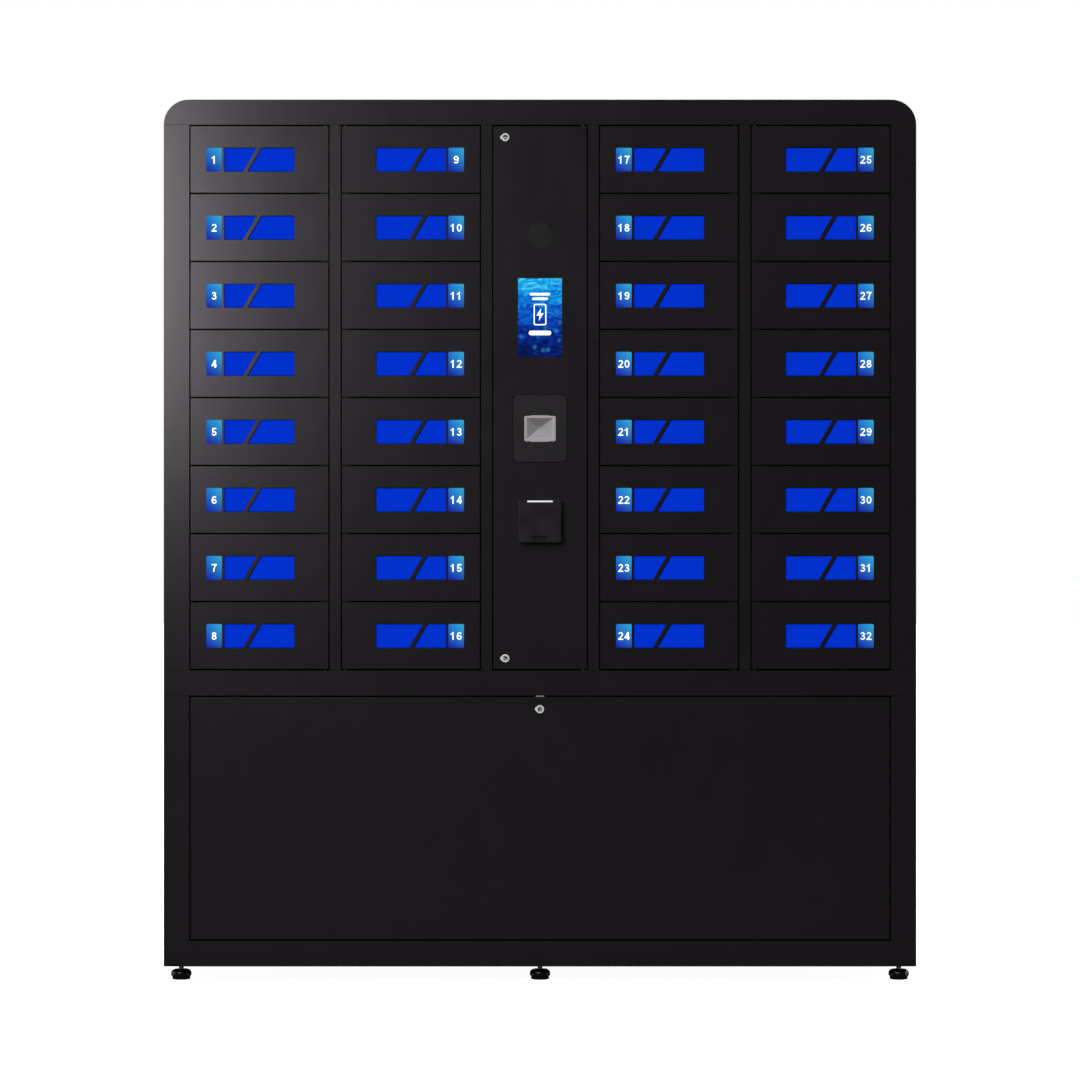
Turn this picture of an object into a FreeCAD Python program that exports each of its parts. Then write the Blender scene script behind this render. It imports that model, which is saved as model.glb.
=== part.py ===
import FreeCAD, Part
import math
import os

# A free-standing phone charging kiosk: 32 locker doors in four columns, a service console
# with a screen, scanner and card reader between them, and a drop-down access door below.
# Millimetres. X runs to the right, Y to the back and Z up; the front faces -Y.
# The origin is on the floor, in the middle of the kiosk's width and depth.

Vector = FreeCAD.Vector

# ---- driving dimensions -------------------------------------------------------------

body_width = 1474.0
body_height = 1698.0
body_depth = 400.0
foot_height = 28.5

cover_sheet = 1.5          # top cover, sides, back and doors
frame_sheet = 2.0          # face frame, base pan and deck
cell_sheet = 1.2           # walls, shelves and backs of the locker cells

column_count = 4
row_count = 8
locker_width = 275.0       # clear width of a locker opening
console_width = 188.0      # clear width of the console opening
mullion_width = 21.5
top_rail_height = 49.0     # also the radius of the cabinet's top corners
mid_rail_height = 49.0
bottom_rail_height = 50.0
frame_depth = 20.0
seam = 0.6                 # between the ends of a stile or mullion and the rails
row_pitch = 133.25
row_gap = 3.25             # between doors one above the other
side_gap = 2.5             # between a door and the frame beside it
cell_depth = 300.0         # from the back of the face frame to the back of a cell

locker_door_depth = 12.0
locker_pin_radius = 2.0
locker_pin_inset = 6.5     # from the door's hinge edge to its pin
locker_pin_setback = 4.5   # from the door's front face to its pin
pin_clearance = 0.05
pin_overrun = 1.0          # how far a pin reaches past the flange that it turns in
shelf_tab = 20.0           # width of the shelf's tab that holds the pins between two doors

window_width = 138.0       # both panes and the slash between them
window_height = 47.6
window_drop = 0.6          # the windows' centre is this far below the door's centre
window_slash = 8.4
window_lean = 28.0         # how far the slash leans over the window's height
window_foot = 37.0         # bottom width of the narrower pane
pane_thickness = 2.0
pane_lap = 5.0
tile_width = 30.5
tile_inset = 31.0          # from the door's latch edge to the number tile
tile_height = 46.6
tile_gap = 4.0
tile_thickness = 0.4
tile_corner = 3.0

lock_width = 14.0
lock_length = 60.0
lock_height = 40.0
lock_setback = 22.0        # from the door's front face to the lock's mouth
lock_slot_width = 6.5
lock_slot_depth = 22.0
lock_slot_height = 24.0
lock_slot_wall = 3.75      # between the cell wall and the slot
striker_sheet = 2.0
striker_reach = 40.0
striker_height = 20.0
striker_clearance = 3.0    # on the slot's outer side, because the striker swings that way

console_door_depth = 20.0
console_pin_radius = 3.0
console_pin_inset = 7.0
console_pin_setback = 5.0
screen_width = 86.0
screen_height = 154.2
screen_centre_z = 1299.5
speaker_radius = 26.0
speaker_centre_z = 1460.0
speaker_hole_radius = 1.25
speaker_hole_pitch = 4.2
plate_width = 104.7
plate_height = 130.7
plate_corner = 11.0
plate_thickness = 1.5
scanner_width = 61.3
scanner_height = 49.6
scanner_rim = 4.1
scanner_corner = 3.0
scanner_centre_z = 1082.0
reader_side = 82.4
reader_proud = 16.0
reader_centre_z = 900.7

cam_lock_head_radius = 8.0
cam_lock_body_radius = 7.0
cam_lock_plug_radius = 5.5
cam_lock_proud = 2.0
cam_lock_length = 20.0     # behind the door's front face
cam_setback = 22.0
cam_sheet = 2.0
cam_width = 16.0
cam_reach = 38.0
console_lock_x = -68.0
console_lock_z = (1652.5, 632.2)
access_lock_z = 532.5

access_door_depth = 15.0
access_axis_rise = 8.0     # from the door's bottom edge to its hinge axis
access_axis_setback = 6.0
access_hinge_x = 411.6
access_hinge_length = 78.0
access_knuckle_radius = 4.0
access_pin_radius = 2.0
access_knuckle_gap = 0.3
access_stiffener_x = 230.0
flange_notch_half = 42.0   # half the width of each notch in the access door's flanges

foot_x = 706.0
foot_inset_y = 35.0
foot_pad_radius = 20.0
foot_pad_top = 20.5
foot_stem_radius = 5.0
foot_stem_top = 50.0
boss_radius = 11.0
boss_height = 22.0

anchor_hole_radius = 5.0
anchor_spacing_x = 1200.0
anchor_spacing_z = 1200.0
anchor_centre_z = 900.0

# ---- places worked out from them ----------------------------------------------------

front = -(body_depth - reader_proud) / 2
back = front + body_depth
half_width = body_width / 2
bottom = foot_height
top = bottom + body_height
bottom_rail_top = bottom + bottom_rail_height
lockers_top = top - top_rail_height
lockers_bottom = lockers_top - row_count * row_pitch - row_gap
access_top = lockers_bottom - mid_rail_height
frame_back = front + frame_depth
cell_back = frame_back + cell_depth
stile_width = (body_width - column_count * (locker_width + mullion_width) - console_width) / 2
opening_edge = half_width - stile_width
inner_mullion = console_width / 2 + mullion_width

column_left = (
    -opening_edge,
    -inner_mullion - locker_width,
    inner_mullion,
    opening_edge - locker_width,
)
latch_direction = (1, -1, 1, -1)   # from each door's latch edge towards its hinge
locker_door_width = locker_width - 2 * side_gap
locker_door_height = row_pitch - row_gap

console_door_left = -console_width / 2 + side_gap
console_door_right = console_width / 2 - side_gap
console_door_bottom = lockers_bottom + row_gap
console_door_top = lockers_top - row_gap
console_axis_x = console_door_right - console_pin_inset

access_door_bottom = bottom_rail_top + row_gap
access_door_top = access_top - row_gap
access_door_half = opening_edge - side_gap
access_axis_z = access_door_bottom + access_axis_rise
access_axis_y = front + access_axis_setback


# ---- helpers ------------------------------------------------------------------------

def block(x0, x1, y0, y1, z0, z1):
    """A box between two corners, given in any order."""
    low = Vector(min(x0, x1), min(y0, y1), min(z0, z1))
    return Part.makeBox(abs(x1 - x0), abs(y1 - y0), abs(z1 - z0), low)


def rod(radius, start, direction, length):
    return Part.makeCylinder(radius, length, start, direction)


def along_y(radius, x, z, y0, y1):
    return rod(radius, Vector(x, y0, z), Vector(0, 1, 0), y1 - y0)


def along_z(radius, x, y, z0, z1):
    return rod(radius, Vector(x, y, z0), Vector(0, 0, 1), z1 - z0)


def plate_from(points, y0, y1):
    """A plate from an outline of (x, z) points, between two depths."""
    corners = [Vector(x, y0, z) for x, z in points]
    outline = Part.makePolygon(corners + corners[:1])
    return Part.Face(outline).extrude(Vector(0, y1 - y0, 0))


def rounded_block(x0, x1, y0, y1, z0, z1, radius):
    """A box whose four edges along Y are rounded."""
    solid = block(x0, x1, y0, y1, z0, z1)
    edges = [edge for edge in solid.Edges if abs(edge.tangentAt(0).y) > 0.9]
    return solid.makeFillet(radius, edges)


def hexagon(width, x, z, y0, y1):
    """A hexagonal nut's blank, given its width across flats."""
    corner = width / math.sqrt(3)
    points = []
    for step in range(6):
        angle = math.radians(60 * step)
        points.append((x + corner * math.cos(angle), z + corner * math.sin(angle)))
    return plate_from(points, y0, y1)


def row_line(level):
    """Height of the middle of the gap above row number level, counted from the top."""
    return lockers_top - row_gap / 2 - level * row_pitch


def door_pan(x0, x1, depth, sheet, z0, z1):
    """A folded door: a front skin with a flange on each of its four sides."""
    outer = block(x0, x1, front, front + depth, z0, z1)
    inner = block(x0 + sheet, x1 - sheet, front + sheet, front + depth, z0 + sheet, z1 - sheet)
    return outer.cut(inner)


def export(name, solids):
    """Write one node; each solid in it stays separate."""
    shape = solids[0] if len(solids) == 1 else Part.makeCompound(solids)
    shape.exportStep("parts/" + name + ".step")


# ---- cabinet ------------------------------------------------------------------------

def cabinet_outline(offset, y0, y1):
    """The cabinet's front outline above the floor of the top rail, as a solid slab."""
    radius = top_rail_height - offset
    half = half_width - offset
    high = top - offset
    arc_x = half - radius
    turn = radius * math.sqrt(0.5)
    edges = [
        Part.makeLine(Vector(-half, y0, lockers_top), Vector(half, y0, lockers_top)),
        Part.Arc(
            Vector(half, y0, lockers_top),
            Vector(arc_x + turn, y0, lockers_top + turn),
            Vector(arc_x, y0, high),
        ).toShape(),
        Part.makeLine(Vector(arc_x, y0, high), Vector(-arc_x, y0, high)),
        Part.Arc(
            Vector(-arc_x, y0, high),
            Vector(-arc_x - turn, y0, lockers_top + turn),
            Vector(-half, y0, lockers_top),
        ).toShape(),
    ]
    return Part.Face(Part.Wire(edges)).extrude(Vector(0, y1 - y0, 0))


def top_cover():
    outer = cabinet_outline(0, front + frame_sheet, back - cover_sheet)
    inner = cabinet_outline(cover_sheet, front + frame_sheet, back - cover_sheet)
    return [outer.cut(inner)]


def side_panels():
    """Two side sheets, each folded inwards behind the face frame and before the back."""
    fold = 17.0
    panels = []
    for side in (-1, 1):
        y0 = front + frame_sheet
        y1 = back - cover_sheet
        x0 = side * half_width
        outer = block(x0, x0 - side * fold, y0, y1, bottom, lockers_top)
        inner = block(
            x0 - side * cover_sheet, x0 - side * fold,
            y0 + cover_sheet, y1 - cover_sheet, bottom, lockers_top,
        )
        panels.append(outer.cut(inner))
    return panels


def pin_places():
    """Each locker column's pin centre, as (x, y)."""
    places = []
    for left, direction in zip(column_left, latch_direction):
        hinge_edge = left + locker_width if direction > 0 else left
        x = hinge_edge - direction * (side_gap + locker_pin_inset)
        places.append((x, front + locker_pin_setback))
    return places


def drill_rail(rail, z0, z1):
    """Holes for the lockers' and the console's end pins through a rail's return."""
    for x, y in pin_places():
        rail = rail.cut(along_z(locker_pin_radius, x, y, z0, z1))
    y = front + console_pin_setback
    return rail.cut(along_z(console_pin_radius, console_axis_x, y, z0, z1))


def rail(z0, z1, upper_return, lower_return):
    solid = block(-half_width, half_width, front, front + frame_sheet, z0, z1)
    if upper_return:
        solid = solid.fuse(
            block(-opening_edge, opening_edge, front, frame_back, z1 - frame_sheet, z1))
    if lower_return:
        solid = solid.fuse(
            block(-opening_edge, opening_edge, front, frame_back, z0, z0 + frame_sheet))
    return solid.removeSplitter()


def face_frame():
    """Rails that run the full width, with the stiles and mullions standing between them."""
    lower_fold = block(
        -opening_edge, opening_edge, front, frame_back, lockers_top, lockers_top + frame_sheet)
    top_rail = cabinet_outline(0, front, front + frame_sheet).fuse(lower_fold).removeSplitter()
    top_rail = drill_rail(top_rail, lockers_top, lockers_top + frame_sheet)
    mid_rail = rail(access_top, lockers_bottom, True, True)
    mid_rail = drill_rail(mid_rail, lockers_bottom - frame_sheet, lockers_bottom)
    bottom_rail = rail(bottom, bottom_rail_top, True, True)
    members = [top_rail, mid_rail, bottom_rail]
    for side in (-1, 1):
        outer = side * half_width
        inner = side * opening_edge
        for low, high in ((lockers_bottom, lockers_top), (bottom_rail_top, access_top)):
            z0 = low + seam
            z1 = high - seam
            face = block(outer, inner, front, front + frame_sheet, z0, z1)
            fold = block(inner, inner + side * frame_sheet, front, frame_back, z0, z1)
            members.append(face.fuse(fold).removeSplitter())
    for left in (
        column_left[0] + locker_width, -inner_mullion,
        console_width / 2, column_left[2] + locker_width,
    ):
        right = left + mullion_width
        z0 = lockers_bottom + seam
        z1 = lockers_top - seam
        outer = block(left, right, front, frame_back, z0, z1)
        inner = block(
            left + frame_sheet, right - frame_sheet, front + frame_sheet, frame_back, z0, z1)
        members.append(outer.cut(inner))
    return members


def back_panel():
    """The back sheet, with wall anchor holes, vent slots and the mains inlet's cut-out."""
    sheet = cabinet_outline(0, back - cover_sheet, back)
    sheet = sheet.fuse(block(
        -half_width, half_width, back - cover_sheet, back, bottom, lockers_top))
    sheet = sheet.removeSplitter()
    cuts = [block(*inlet_span(), back - cover_sheet, back, *inlet_rise())]
    for side_x in (-1, 1):
        for side_z in (-1, 1):
            x = side_x * anchor_spacing_x / 2
            z = anchor_centre_z + side_z * anchor_spacing_z / 2
            cuts.append(along_y(anchor_hole_radius, x, z, back - cover_sheet, back))
    slot_length = 70.0
    slot_height = 5.0
    slot_pitch = 14.0
    slot_corner = 2.4          # just under half the slot's height
    slots_each_side = 3        # above and below the middle slot of a vent
    vent_x = (-330.0, 0.0, 330.0)
    vent_z = (455.0, 1590.0)
    for centre_x in vent_x:
        for centre_z in vent_z:
            for step in range(-slots_each_side, slots_each_side + 1):
                z = centre_z + step * slot_pitch
                cuts.append(rounded_block(
                    centre_x - slot_length / 2, centre_x + slot_length / 2,
                    back - cover_sheet, back,
                    z - slot_height / 2, z + slot_height / 2, slot_corner,
                ))
    return [sheet.cut(Part.makeCompound(cuts))]


def foot_places():
    places = []
    for y in (front + foot_inset_y, back - foot_inset_y):
        for x in (-foot_x, 0.0, foot_x):
            places.append((x, y))
    return places


def base_and_deck():
    """The base pan with a threaded boss for each foot, and the deck under the lockers."""
    half = half_width - cover_sheet
    rear = back - 2 * cover_sheet
    pan_top = bottom + frame_sheet
    stem_hole = foot_stem_radius + pin_clearance
    pan_hole_margin = 1.0
    pan = block(-half, half, frame_back, rear, bottom, pan_top)
    ear_front = front + frame_sheet + cover_sheet
    for side in (-1, 1):
        ear = block(side * half, side * opening_edge, ear_front, frame_back, bottom, pan_top)
        pan = pan.fuse(ear)
    pan = pan.removeSplitter()
    solids = []
    for x, y in foot_places():
        pan = pan.cut(along_z(stem_hole + pan_hole_margin, x, y, bottom, pan_top))
        boss = along_z(boss_radius, x, y, pan_top, pan_top + boss_height)
        solids.append(boss.cut(along_z(stem_hole, x, y, pan_top, pan_top + boss_height)))
    deck_top = lockers_bottom - cell_sheet
    deck = block(-half, half, frame_back, rear, deck_top - frame_sheet, deck_top)
    cable_hole = 25.0
    hole_y = (cell_back + rear) / 2
    for left in column_left:
        x = left + locker_width / 2
        deck = deck.cut(along_z(cable_hole, x, hole_y, deck_top - frame_sheet, deck_top))
    return [pan, deck] + solids


# ---- lockers ------------------------------------------------------------------------

outlet_width = 46.0
outlet_height = 24.0
outlet_proud = 8.0
outlet_depth = 20.0


def cell_centre(column, row):
    """Middle of a compartment, as (x, z)."""
    x = column_left[column] + locker_width / 2
    z = (row_line(row) + row_line(row + 1)) / 2
    return x, z


def locker_cells():
    """The walls, shelves and backs that divide the four columns into compartments."""
    low = lockers_bottom - cell_sheet
    high = lockers_top + cell_sheet
    solids = []
    for column, left in enumerate(column_left):
        right = left + locker_width
        solids.append(block(left - cell_sheet, left, frame_back, cell_back, low, high))
        solids.append(block(right, right + cell_sheet, frame_back, cell_back, low, high))
        solids.append(block(left, right, frame_back, cell_back, low, lockers_bottom))
        solids.append(block(left, right, frame_back, cell_back, lockers_top, high))
        pin_x, pin_y = pin_places()[column]
        for level in range(1, row_count):
            z0 = row_line(level) - cell_sheet / 2
            z1 = row_line(level) + cell_sheet / 2
            shelf = block(left, right, front + locker_door_depth, cell_back, z0, z1)
            if latch_direction[column] > 0:
                tab_x = (right - shelf_tab, right)
            else:
                tab_x = (left, left + shelf_tab)
            tab = block(*tab_x, front + cover_sheet, front + locker_door_depth, z0, z1)
            shelf = shelf.fuse(tab).removeSplitter()
            solids.append(shelf.cut(along_z(locker_pin_radius, pin_x, pin_y, z0, z1)))
        panel = block(
            left - cell_sheet, right + cell_sheet,
            cell_back, cell_back + cell_sheet, low, high,
        )
        for row in range(row_count):
            x, z = cell_centre(column, row)
            panel = panel.cut(block(
                x - outlet_width / 2, x + outlet_width / 2,
                cell_back, cell_back + cell_sheet,
                z - outlet_height / 2, z + outlet_height / 2,
            ))
        solids.append(panel)
    console_half = inner_mullion - cell_sheet
    solids.append(block(
        -console_half, console_half, cell_back, cell_back + cell_sheet, low, high))
    return solids


def charging_outlets():
    """A two-port charging outlet through the back of every compartment."""
    port_width = 13.0
    port_height = 5.5
    port_depth = 9.0
    port_offset = 10.5
    lip = 3.0
    solids = []
    y0 = cell_back - outlet_proud
    for column in range(column_count):
        for row in range(row_count):
            x, z = cell_centre(column, row)
            flange = block(
                x - outlet_width / 2 - lip, x + outlet_width / 2 + lip,
                y0, cell_back, z - outlet_height / 2 - lip, z + outlet_height / 2 + lip,
            )
            body = block(
                x - outlet_width / 2, x + outlet_width / 2,
                y0, y0 + outlet_depth, z - outlet_height / 2, z + outlet_height / 2,
            )
            outlet = flange.fuse(body).removeSplitter()
            for side in (-1, 1):
                port_x = x + side * port_offset
                outlet = outlet.cut(block(
                    port_x - port_width / 2, port_x + port_width / 2,
                    y0, y0 + port_depth, z - port_height / 2, z + port_height / 2,
                ))
            solids.append(outlet)
    return solids


def latch_edge(column):
    """The x of a locker door's latch edge."""
    if latch_direction[column] > 0:
        return column_left[column] + side_gap
    return column_left[column] + locker_width - side_gap


def electronic_locks():
    """A solenoid lock on the latch-side wall of every compartment, with a striker slot."""
    solids = []
    mouth = front + lock_setback
    for column, direction in enumerate(latch_direction):
        wall = latch_edge(column) - direction * side_gap
        slot = wall + direction * lock_slot_wall
        for row in range(row_count):
            z = cell_centre(column, row)[1]
            body = block(
                wall, wall + direction * lock_width, mouth, mouth + lock_length,
                z - lock_height / 2, z + lock_height / 2,
            )
            solids.append(body.cut(block(
                slot, slot + direction * lock_slot_width, mouth, mouth + lock_slot_depth,
                z - lock_slot_height / 2, z + lock_slot_height / 2,
            )))
    return solids


def window_outlines(column, centre_z):
    """The two panes beside the slash, as outlines of (x, z) points."""
    low = centre_z - window_drop - window_height / 2
    high = low + window_height
    narrow_top = window_foot + window_lean
    first = [(0, 0), (window_foot, 0), (narrow_top, 1), (0, 1)]
    second = [
        (window_foot + window_slash, 0), (window_width, 0),
        (window_width, 1), (narrow_top + window_slash, 1),
    ]
    start = tile_inset + tile_width + tile_gap
    outlines = []
    for outline in (first, second):
        points = []
        for across, up in outline:
            if latch_direction[column] > 0:
                points.append((latch_edge(column) + start + across, low + up * window_height))
            else:
                points.append((latch_edge(column) - start - across, high - up * window_height))
        outlines.append(points)
    return outlines


def locker_door(column, row):
    """A door pan with its window pane, its number tile and its striker."""
    direction = latch_direction[column]
    edge = latch_edge(column)
    hinge = edge + direction * locker_door_width
    centre_z = cell_centre(column, row)[1]
    z0 = centre_z - locker_door_height / 2
    z1 = centre_z + locker_door_height / 2
    pan = door_pan(min(edge, hinge), max(edge, hinge), locker_door_depth, cover_sheet, z0, z1)
    for outline in window_outlines(column, centre_z):
        pan = pan.cut(plate_from(outline, front, front + cover_sheet))
    pin_x, pin_y = pin_places()[column]
    pan = pan.cut(along_z(locker_pin_radius + pin_clearance, pin_x, pin_y, z0, z1))

    start = tile_inset + tile_width + tile_gap - pane_lap
    pane_z = centre_z - window_drop
    pane_half = window_height / 2 + pane_lap
    pane_y = front + cover_sheet
    pane = block(
        edge + direction * start, edge + direction * (start + window_width + 2 * pane_lap),
        pane_y, pane_y + pane_thickness, pane_z - pane_half, pane_z + pane_half,
    )

    tile_x = (edge + direction * tile_inset, edge + direction * (tile_inset + tile_width))
    tile = rounded_block(
        min(tile_x), max(tile_x), front - tile_thickness, front,
        pane_z - tile_height / 2, pane_z + tile_height / 2, tile_corner,
    )
    return [pan, pane, tile, striker(edge, direction, centre_z)]


def striker(edge, direction, z):
    """The bent plate on the back of a door that enters the electronic lock."""
    foot_width = 16.0
    foot_rise = 28.0
    hook_hole = 8.0
    hook_margin = 4.0          # from the blade's tip to its hole
    foot_y = front + cover_sheet
    foot_x0 = edge + direction * cover_sheet
    arm = lock_slot_wall - side_gap + striker_clearance
    tip = front + striker_reach
    foot = block(
        foot_x0, foot_x0 + direction * foot_width, foot_y, foot_y + striker_sheet,
        z - foot_rise / 2, z + foot_rise / 2,
    )
    blade = block(
        edge + direction * arm, edge + direction * (arm + striker_sheet), foot_y, tip,
        z - striker_height / 2, z + striker_height / 2,
    )
    hole_end = tip - hook_margin
    hole = block(
        edge + direction * arm, edge + direction * (arm + striker_sheet),
        hole_end - hook_hole, hole_end, z - hook_hole / 2, z + hook_hole / 2,
    )
    return foot.fuse(blade).cut(hole).removeSplitter()


# ---- console ------------------------------------------------------------------------

def speaker_holes():
    """Perforation centres inside the speaker's circle, in a staggered grid."""
    places = []
    pitch_z = speaker_hole_pitch * math.sqrt(0.75)
    reach = speaker_radius - speaker_hole_radius
    steps = math.ceil(speaker_radius / pitch_z)
    for row in range(-steps, steps + 1):
        shift = speaker_hole_pitch / 2 if row % 2 else 0.0
        for column in range(-steps, steps + 1):
            x = column * speaker_hole_pitch + shift
            z = row * pitch_z
            if math.hypot(x, z) <= reach:
                places.append((x, speaker_centre_z + z))
    return places


def console_door():
    pan = door_pan(
        console_door_left, console_door_right, console_door_depth, frame_sheet,
        console_door_bottom, console_door_top,
    )
    skin_back = front + frame_sheet
    cuts = [
        block(
            -screen_width / 2, screen_width / 2, front, skin_back,
            screen_centre_z - screen_height / 2, screen_centre_z + screen_height / 2,
        ),
        rounded_block(
            -scanner_width / 2, scanner_width / 2, front, skin_back,
            scanner_centre_z - scanner_height / 2, scanner_centre_z + scanner_height / 2,
            scanner_corner,
        ),
        block(
            -reader_body_half, reader_body_half, front, skin_back,
            reader_centre_z - reader_body_half, reader_centre_z + reader_body_half,
        ),
        along_z(
            console_pin_radius + pin_clearance, console_axis_x, front + console_pin_setback,
            console_door_bottom, console_door_top,
        ),
    ]
    for z in console_lock_z:
        cuts.append(along_y(cam_lock_body_radius, console_lock_x, z, front, skin_back))
    for x, z in speaker_holes():
        cuts.append(along_y(speaker_hole_radius, x, z, front, skin_back))
    return [pan.cut(Part.makeCompound(cuts))]


def touchscreen():
    """The touch glass behind the door's cut-out, and the display's housing behind it."""
    border = 16.0
    glass_thickness = 3.0
    housing_depth = 16.0
    housing_lap = 2.0
    y0 = front + frame_sheet
    half_x = screen_width / 2 + border
    half_z = screen_height / 2 + border
    low = screen_centre_z - half_z
    high = screen_centre_z + half_z
    glass = block(-half_x, half_x, y0, y0 + glass_thickness, low, high)
    y1 = y0 + glass_thickness
    housing = block(
        -half_x - housing_lap, half_x + housing_lap, y1, y1 + housing_depth,
        low - housing_lap, high + housing_lap,
    )
    return [glass, housing]


def scanner_plate():
    plate = rounded_block(
        -plate_width / 2, plate_width / 2, front - plate_thickness, front,
        scanner_centre_z - plate_height / 2, scanner_centre_z + plate_height / 2, plate_corner,
    )
    plate = plate.cut(rounded_block(
        -scanner_width / 2, scanner_width / 2, front - plate_thickness, front,
        scanner_centre_z - scanner_height / 2, scanner_centre_z + scanner_height / 2,
        scanner_corner,
    ))
    light_radius = 1.1
    light_x = 16.7
    light_z = scanner_centre_z + 38.0
    return [plate.cut(along_y(light_radius, light_x, light_z, front - plate_thickness, front))]


def barcode_scanner():
    """The scanner's block, with a rim and a funnel that narrows to its window."""
    rim_proud = 1.0
    rim_y = front - plate_thickness - rim_proud
    depth = 26.5
    funnel_depth = 18.0
    apex_rise = 3.0
    tab_half = 18.5
    tab_height = 1.1
    tab_overlap = 1.0          # how far a tab runs into the block that it is joined to
    throat_half_x = 1.5
    throat_half_z = 1.2
    half_x = scanner_width / 2
    half_z = scanner_height / 2
    body = rounded_block(
        -half_x, half_x, rim_y, rim_y + depth,
        scanner_centre_z - half_z, scanner_centre_z + half_z, scanner_corner,
    )
    for side in (-1, 1):
        edge_z = scanner_centre_z + side * half_z
        body = body.fuse(block(
            -tab_half, tab_half, rim_y, front - plate_thickness,
            edge_z - side * tab_overlap, edge_z + side * tab_height,
        ))
    body = body.removeSplitter()

    def ring(half_width_x, half_height_z, centre_z, y):
        corners = [
            Vector(-half_width_x, y, centre_z - half_height_z),
            Vector(half_width_x, y, centre_z - half_height_z),
            Vector(half_width_x, y, centre_z + half_height_z),
            Vector(-half_width_x, y, centre_z + half_height_z),
        ]
        return Part.makePolygon(corners + corners[:1])

    mouth = ring(half_x - scanner_rim, half_z - scanner_rim, scanner_centre_z, rim_y)
    throat = ring(throat_half_x, throat_half_z, scanner_centre_z + apex_rise, rim_y + funnel_depth)
    funnel = Part.makeLoft([mouth, throat], True, True)
    return [body.cut(funnel)]


reader_body_half = 30.0
reader_lip_height = 15.8
reader_lip_step = 2.0


def card_reader():
    """The card reader's housing, its lower lip with the card slot, and its light bar."""
    light_half = 25.4
    light_height = 4.5
    light_depth = 4.0
    slot_half = 14.6
    slot_height = 8.4
    slot_rise = 2.0
    slot_depth = 9.0
    rear_depth = 35.0
    corner = 2.0
    lip_corner = 1.5
    lip_overlap = 1.0          # how far the lip runs into the housing that it is joined to
    half = reader_side / 2
    low = reader_centre_z - half
    high = reader_centre_z + half
    face_y = front - reader_proud + reader_lip_step
    lip_y = front - reader_proud
    housing = rounded_block(-half, half, face_y, front, low, high, corner)
    lip = rounded_block(
        -half, half, lip_y, face_y + lip_overlap, low, low + reader_lip_height, lip_corner)
    rear = block(
        -reader_body_half, reader_body_half, front, front + rear_depth,
        reader_centre_z - reader_body_half, reader_centre_z + reader_body_half,
    )
    housing = housing.fuse([lip, rear]).removeSplitter()
    housing = housing.cut(block(
        -slot_half, slot_half, lip_y, lip_y + slot_depth,
        low + slot_rise, low + slot_rise + slot_height,
    ))
    light = block(
        -light_half, light_half, face_y, face_y + light_depth, high - light_height, high)
    return [housing.cut(light), light]


def speaker():
    """The loudspeaker behind the perforated part of the console door."""
    basket_radius = speaker_radius + 4.0
    basket_depth = 5.0
    magnet_radius = 17.0
    magnet_depth = 19.0
    cone_mouth = speaker_radius - 3.0
    cone_throat = 8.0
    cone_depth = 9.0
    y0 = front + frame_sheet
    y1 = y0 + basket_depth
    basket = along_y(basket_radius, 0, speaker_centre_z, y0, y1)
    magnet = along_y(magnet_radius, 0, speaker_centre_z, y1, y1 + magnet_depth)
    cone = Part.makeCone(
        cone_mouth, cone_throat, cone_depth, Vector(0, y0, speaker_centre_z), Vector(0, 1, 0))
    return [basket.fuse(magnet).cut(cone).removeSplitter()]


# ---- cam locks ----------------------------------------------------------------------

def lock_barrel(x, z, skin):
    """A cam lock's barrel with its lugged head, and the nut behind the door's skin."""
    lug_radius = 4.4
    lug_offset = 5.6
    nut_thickness = 4.0
    nut_width = 21.0
    bore = cam_lock_plug_radius + pin_clearance
    head_y = front - cam_lock_proud
    end_y = front + cam_lock_length
    head = along_y(cam_lock_head_radius, x, z, head_y, front)
    lug = along_y(lug_radius, x - lug_offset, z, head_y, front)
    body = along_y(cam_lock_body_radius, x, z, front, end_y)
    barrel = head.fuse([lug, body]).removeSplitter().cut(along_y(bore, x, z, head_y, end_y))
    nut_y = front + skin
    nut = hexagon(nut_width, x, z, nut_y, nut_y + nut_thickness)
    nut = nut.cut(along_y(cam_lock_body_radius, x, z, nut_y, nut_y + nut_thickness))
    return [barrel, nut]


def lock_plug(x, z, point_x, point_z):
    """The turning plug with its key slot, its cam and the nut that holds the cam.

    The cam points along (point_x, point_z) when the lock is released.
    """
    key_half_width = 0.8
    key_half_height = 3.2
    key_depth = 6.0
    nut_width = 9.0
    nut_thickness = 4.0
    plug_proud = 0.4           # beyond the barrel's head
    head_y = front - cam_lock_proud - plug_proud
    cam_y = front + cam_setback
    plug = along_y(cam_lock_plug_radius, x, z, head_y, cam_y)
    plug = plug.cut(block(
        x - key_half_width, x + key_half_width, head_y, head_y + key_depth,
        z - key_half_height, z + key_half_height,
    ))
    half = cam_width / 2
    side_x = abs(point_z) * half
    side_z = abs(point_x) * half
    cam = block(
        x - side_x, x + point_x * cam_reach + side_x, cam_y, cam_y + cam_sheet,
        z - side_z, z + point_z * cam_reach + side_z,
    )
    cam = cam.fuse(along_y(half, x, z, cam_y, cam_y + cam_sheet)).removeSplitter()
    nut_y = cam_y + cam_sheet
    nut = hexagon(nut_width, x, z, nut_y, nut_y + nut_thickness)
    return [plug, cam, nut]


# ---- access door and hinges ---------------------------------------------------------

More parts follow.
